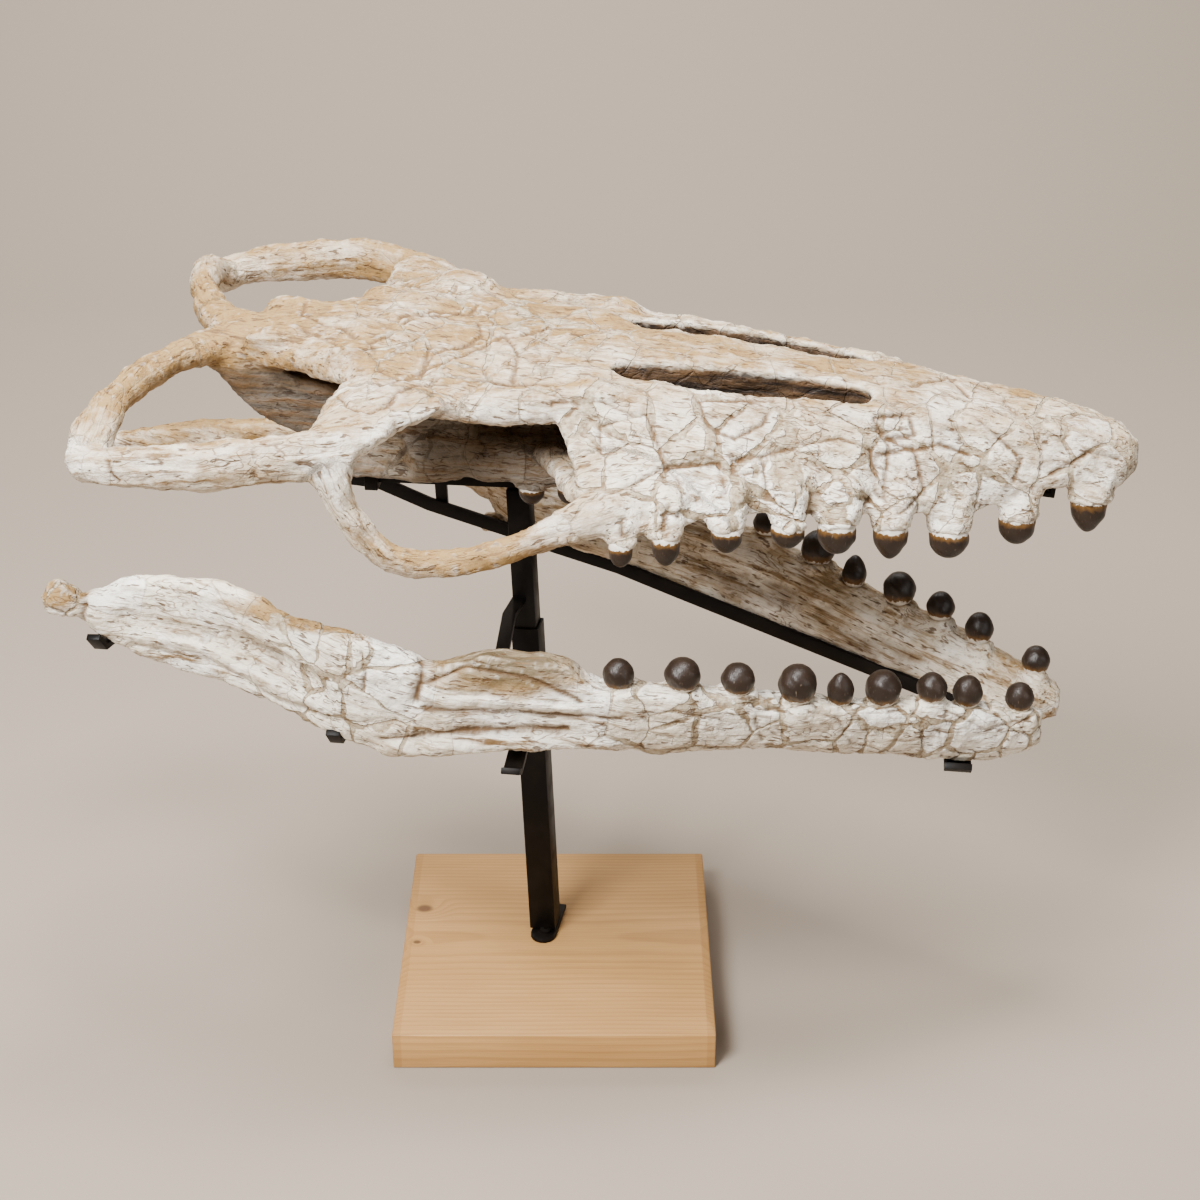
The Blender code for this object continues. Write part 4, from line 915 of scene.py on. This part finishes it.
# Larger forms: the groove over the rod of the splenial, the break under the rock, a notch
# and a crack behind it, the rear basin with a ridge below it, and the knob's broken neck.
# Each is a depth, less than 0 for a ridge, a width, and its line.
JAW_FORMS = [
    (0.0032, 0.0042, [(-0.098, -0.232, 0.385), (-0.050, -0.223, 0.390), (0.005, -0.213, 0.392),
     (0.054, -0.206, 0.391)]),
    (0.0026, 0.0028, [(-0.060, -0.224, 0.436), (-0.027, -0.217, 0.451), (0.025, -0.214, 0.442),
     (0.066, -0.208, 0.420)]),
    (0.0045, 0.0046, [(-0.063, -0.205, 0.462), (-0.063, -0.225, 0.441), (-0.067, -0.228, 0.424)]),
    (0.0016, 0.0020, [(-0.112, -0.215, 0.480), (-0.111, -0.230, 0.464), (-0.108, -0.233, 0.447),
     (-0.110, -0.235, 0.433)]),
    (0.0050, 0.0110, [(-0.323, -0.197, 0.459), (-0.237, -0.196, 0.452), (-0.193, -0.203, 0.435),
     (-0.172, -0.217, 0.420)]),
    (-0.0030, 0.0060, [(-0.310, -0.195, 0.447), (-0.243, -0.196, 0.437), (-0.200, -0.208, 0.419),
     (-0.150, -0.230, 0.412)]),
    (0.0034, 0.0055, [(-0.319, -0.192, 0.434), (-0.243, -0.196, 0.422), (-0.184, -0.215, 0.402),
     (-0.124, -0.235, 0.400), (-0.086, -0.232, 0.402)]),
    (0.0026, 0.0045, [(-0.060, -0.227, 0.413), (0.062, -0.207, 0.405), (0.099, -0.202, 0.403)]),
    (0.0040, 0.0038, [(-0.361, -0.178, 0.490), (-0.357, -0.198, 0.474), (-0.362, -0.196, 0.455)]),
    (-0.0022, 0.0045, [(-0.060, -0.226, 0.424), (0.000, -0.217, 0.421), (0.060, -0.208, 0.413)]),
]
jaw_fields = {
    "filler": (0.55, [
        ((0.0, -0.20, 0.41), (0.10, 0.05, 0.06), 0.04),
        ((-0.27, -0.19, 0.45), (0.10, 0.05, 0.06), 0.12)]),
    "streak": (0.40, [
        ((0.0, -0.20, 0.40), (0.10, 0.05, 0.05), 1.0),
        ((-0.16, -0.20, 0.45), (0.05, 0.05, 0.04), 0.25),
        ((-0.28, -0.19, 0.43), (0.09, 0.05, 0.03), 0.9)]),
    "rough": (0.15, [
        ((-0.385, -0.19, 0.474), (0.03, 0.03, 0.03), 1.0)]),
    "tan": (-0.12, [
        ((0.0, -0.20, 0.44), (0.08, 0.05, 0.02), 0.40),
        ((-0.385, -0.19, 0.485), (0.03, 0.03, 0.02), 0.45),
        ((-0.15, -0.21, 0.485), (0.12, 0.03, 0.012), 0.45)]),
    "umber": (-0.30, []),
    "matrix": (0.0, [
        ((0.006, -0.205, 0.455), (0.064, 0.05, 0.024), 1.0)]),
}
make_bone("jaw_right", "right_jaw_bones", JAW_VOXEL, JAW_PASSES, JAW_YAW,
          [(near_line, JAW_REACH)], jaw_fields, JAW_SEAMS + JAW_FORMS)


# Left lower jaw, the far one, seen from its inner face: stained tan and brown, smoother,
# with a rough broken chin.
far_line = [(x, -y, z) for x, y, z in near_line]
# The long groove inside the jaw, and a ridge under its teeth.
FAR_FORMS = [
    (0.0035, 0.0060, [(0.420, 0.036, 0.318), (0.312, 0.078, 0.338), (0.192, 0.125, 0.368),
     (0.078, 0.165, 0.392)]),
    (-0.0025, 0.0060, [(0.420, 0.036, 0.336), (0.312, 0.080, 0.358), (0.192, 0.132, 0.390),
     (0.100, 0.165, 0.408)]),
]
far_fields = {
    "filler": (0.12, []),
    "streak": (0.75, []),
    "rough": (0.15, [((0.465, 0.035, 0.32), (0.03, 0.03, 0.03), 0.9)]),
    "tan": (0.16, [((-0.30, 0.20, 0.46), (0.22, 0.06, 0.08), 0.30)]),
    "umber": (-0.15, [
        ((-0.30, 0.20, 0.46), (0.22, 0.06, 0.08), 0.20),
        ((0.33, 0.080, 0.330), (0.11, 0.04, 0.024), 0.52),
        ((0.20, 0.130, 0.365), (0.12, 0.04, 0.020), 0.42)]),
    "matrix": (0.0, []),
}
make_bone("jaw_left", "left_jaw_bones", JAW_VOXEL, JAW_PASSES, JAW_YAW,
          [(far_line, JAW_REACH)], far_fields, FAR_FORMS)


# Teeth. Each crown is a blunt cone of dark fossil enamel on a swollen bone root, ragged
# where the enamel ends, and leans out a little from the bone that it is cemented into.
CROWN_SPLAY = math.radians(8.0)
ROOT_SHARE = 0.97
CROWN_TALLER = 0.05
DENT_DEPTH = 0.03

# Fossil enamel: glossy brown-black, browner toward the root, with fine upright wrinkles,
# pale scratches, and bone-coloured cement above its ragged edge.
ENAMEL_BLACK = "#150e09"
ENAMEL_BROWN = "#30231a"
ENAMEL_EDGE = "#6b4a20"
SCRATCH_PALE = "#7c6d5e"
CEMENT = "#d9d0c2"
# Scratches 1 mm wide and 8 mm long, in turns in a metre.
SCRATCH_TURNS = (900.0, 900.0, 120.0)

enamel, tree, shader, place = new_material("fossil_enamel")
rise = add_node(tree, "ShaderNodeAttribute", attribute_name="rise").outputs["Fac"]
edge_at = add_node(tree, "ShaderNodeAttribute", attribute_name="enamel_edge").outputs["Fac"]
ragged = mapped(tree, noise_at(tree, place, 230.0, 4.0, 0.65), 0.25, 0.75, -0.10, 0.10)
level = maths(tree, "SUBTRACT", maths(tree, "ADD", rise, ragged), edge_at)
cover = mapped(tree, level, 0.0, 0.03)
shade = mixed(tree, noise_at(tree, place, 70.0, 4.0), ENAMEL_BLACK, ENAMEL_BROWN)
coat = mixed(tree, mapped(tree, level, 0.0, 0.24), ENAMEL_EDGE, shade)
scratch = noise_at(tree, vector_maths(tree, "MULTIPLY", place, SCRATCH_TURNS), 1.0)
coat = mixed(tree, mapped(tree, scratch, 0.66, 0.80, 0.0, 0.6), coat, SCRATCH_PALE)
tree.links.new(mixed(tree, cover, CEMENT, coat), shader.inputs["Base Color"])
tree.links.new(mapped(tree, cover, 0.0, 1.0, 0.6, 0.40), shader.inputs["Roughness"])
shader.inputs["Specular IOR Level"].default_value = 0.32
fine_relief(tree, shader, maths(tree, "MULTIPLY_ADD", cover, 0.6, scratch), 0.45, 0.0006)


def make_crown(node, name, axis, overlap, spread, edge):
    """A crown from its CAD solid, its root sunk into the bone, rounded and dented."""
    piece = copy_of(node, name)
    points = points_of(piece)
    along = points @ axis
    root = along.min()
    tall = along.max() - root
    rim = along < root + 0.0002
    centre = points[rim].mean(axis=0)
    heights = (along - root)[:, None]
    middle = centre + heights * axis
    points = middle + (points - middle) * np.where(rim, ROOT_SHARE, spread)[:, None]
    points += axis * heights * CROWN_TALLER
    points[rim] -= axis * overlap
    piece.data.vertices.foreach_set("co", points.ravel())
    settle(piece, "SUBSURF", levels=3, render_levels=3)
    points = points_of(piece)
    along = points @ axis - root
    dent = np.array([math.sin(290.0 * x + 2.0 * z * 190.0) * math.cos(240.0 * y + 1.3)
                     for x, y, z in points])
    middle = centre + along[:, None] * axis
    points = middle + (points - middle) * (1.0 + DENT_DEPTH * dent[:, None])
    piece.data.vertices.foreach_set("co", points.ravel())
    write(piece, "rise", along / tall)
    write(piece, "enamel_edge", np.full(len(points), edge))
    only(piece)
    bpy.ops.object.shade_smooth()
    place_piece(piece, enamel, "tooth_enamel", node)


# Rows: teeth a side, whether they point down, the yaw of their bone, how deep the root goes
# in, how much fuller than its solid a crown is, and the share of its height without enamel.
for label, count, down, yaw, overlap, spread, edge in (
    ("upper", 9, True, SKULL_YAW, 0.0050, 1.08, 0.04),
    ("palate", 2, True, SKULL_YAW, 0.0040, 1.08, 0.10),
    ("lower", 9, False, JAW_YAW, 0.0030, 1.09, 0.11),
):
    for side_name, side in (("right", -1.0), ("left", 1.0)):
        lean = side * math.sin(CROWN_SPLAY)
        rise_z = -math.cos(CROWN_SPLAY) if down else math.cos(CROWN_SPLAY)
        axis = np.array((-lean * math.sin(yaw), lean * math.cos(yaw), rise_z))
        for number in range(1, count + 1):
            tooth = f"{label}_tooth_{side_name}_{number}"
            make_crown(tooth, f"{label}_crown_{side_name}_{number}", axis, overlap, spread, edge)
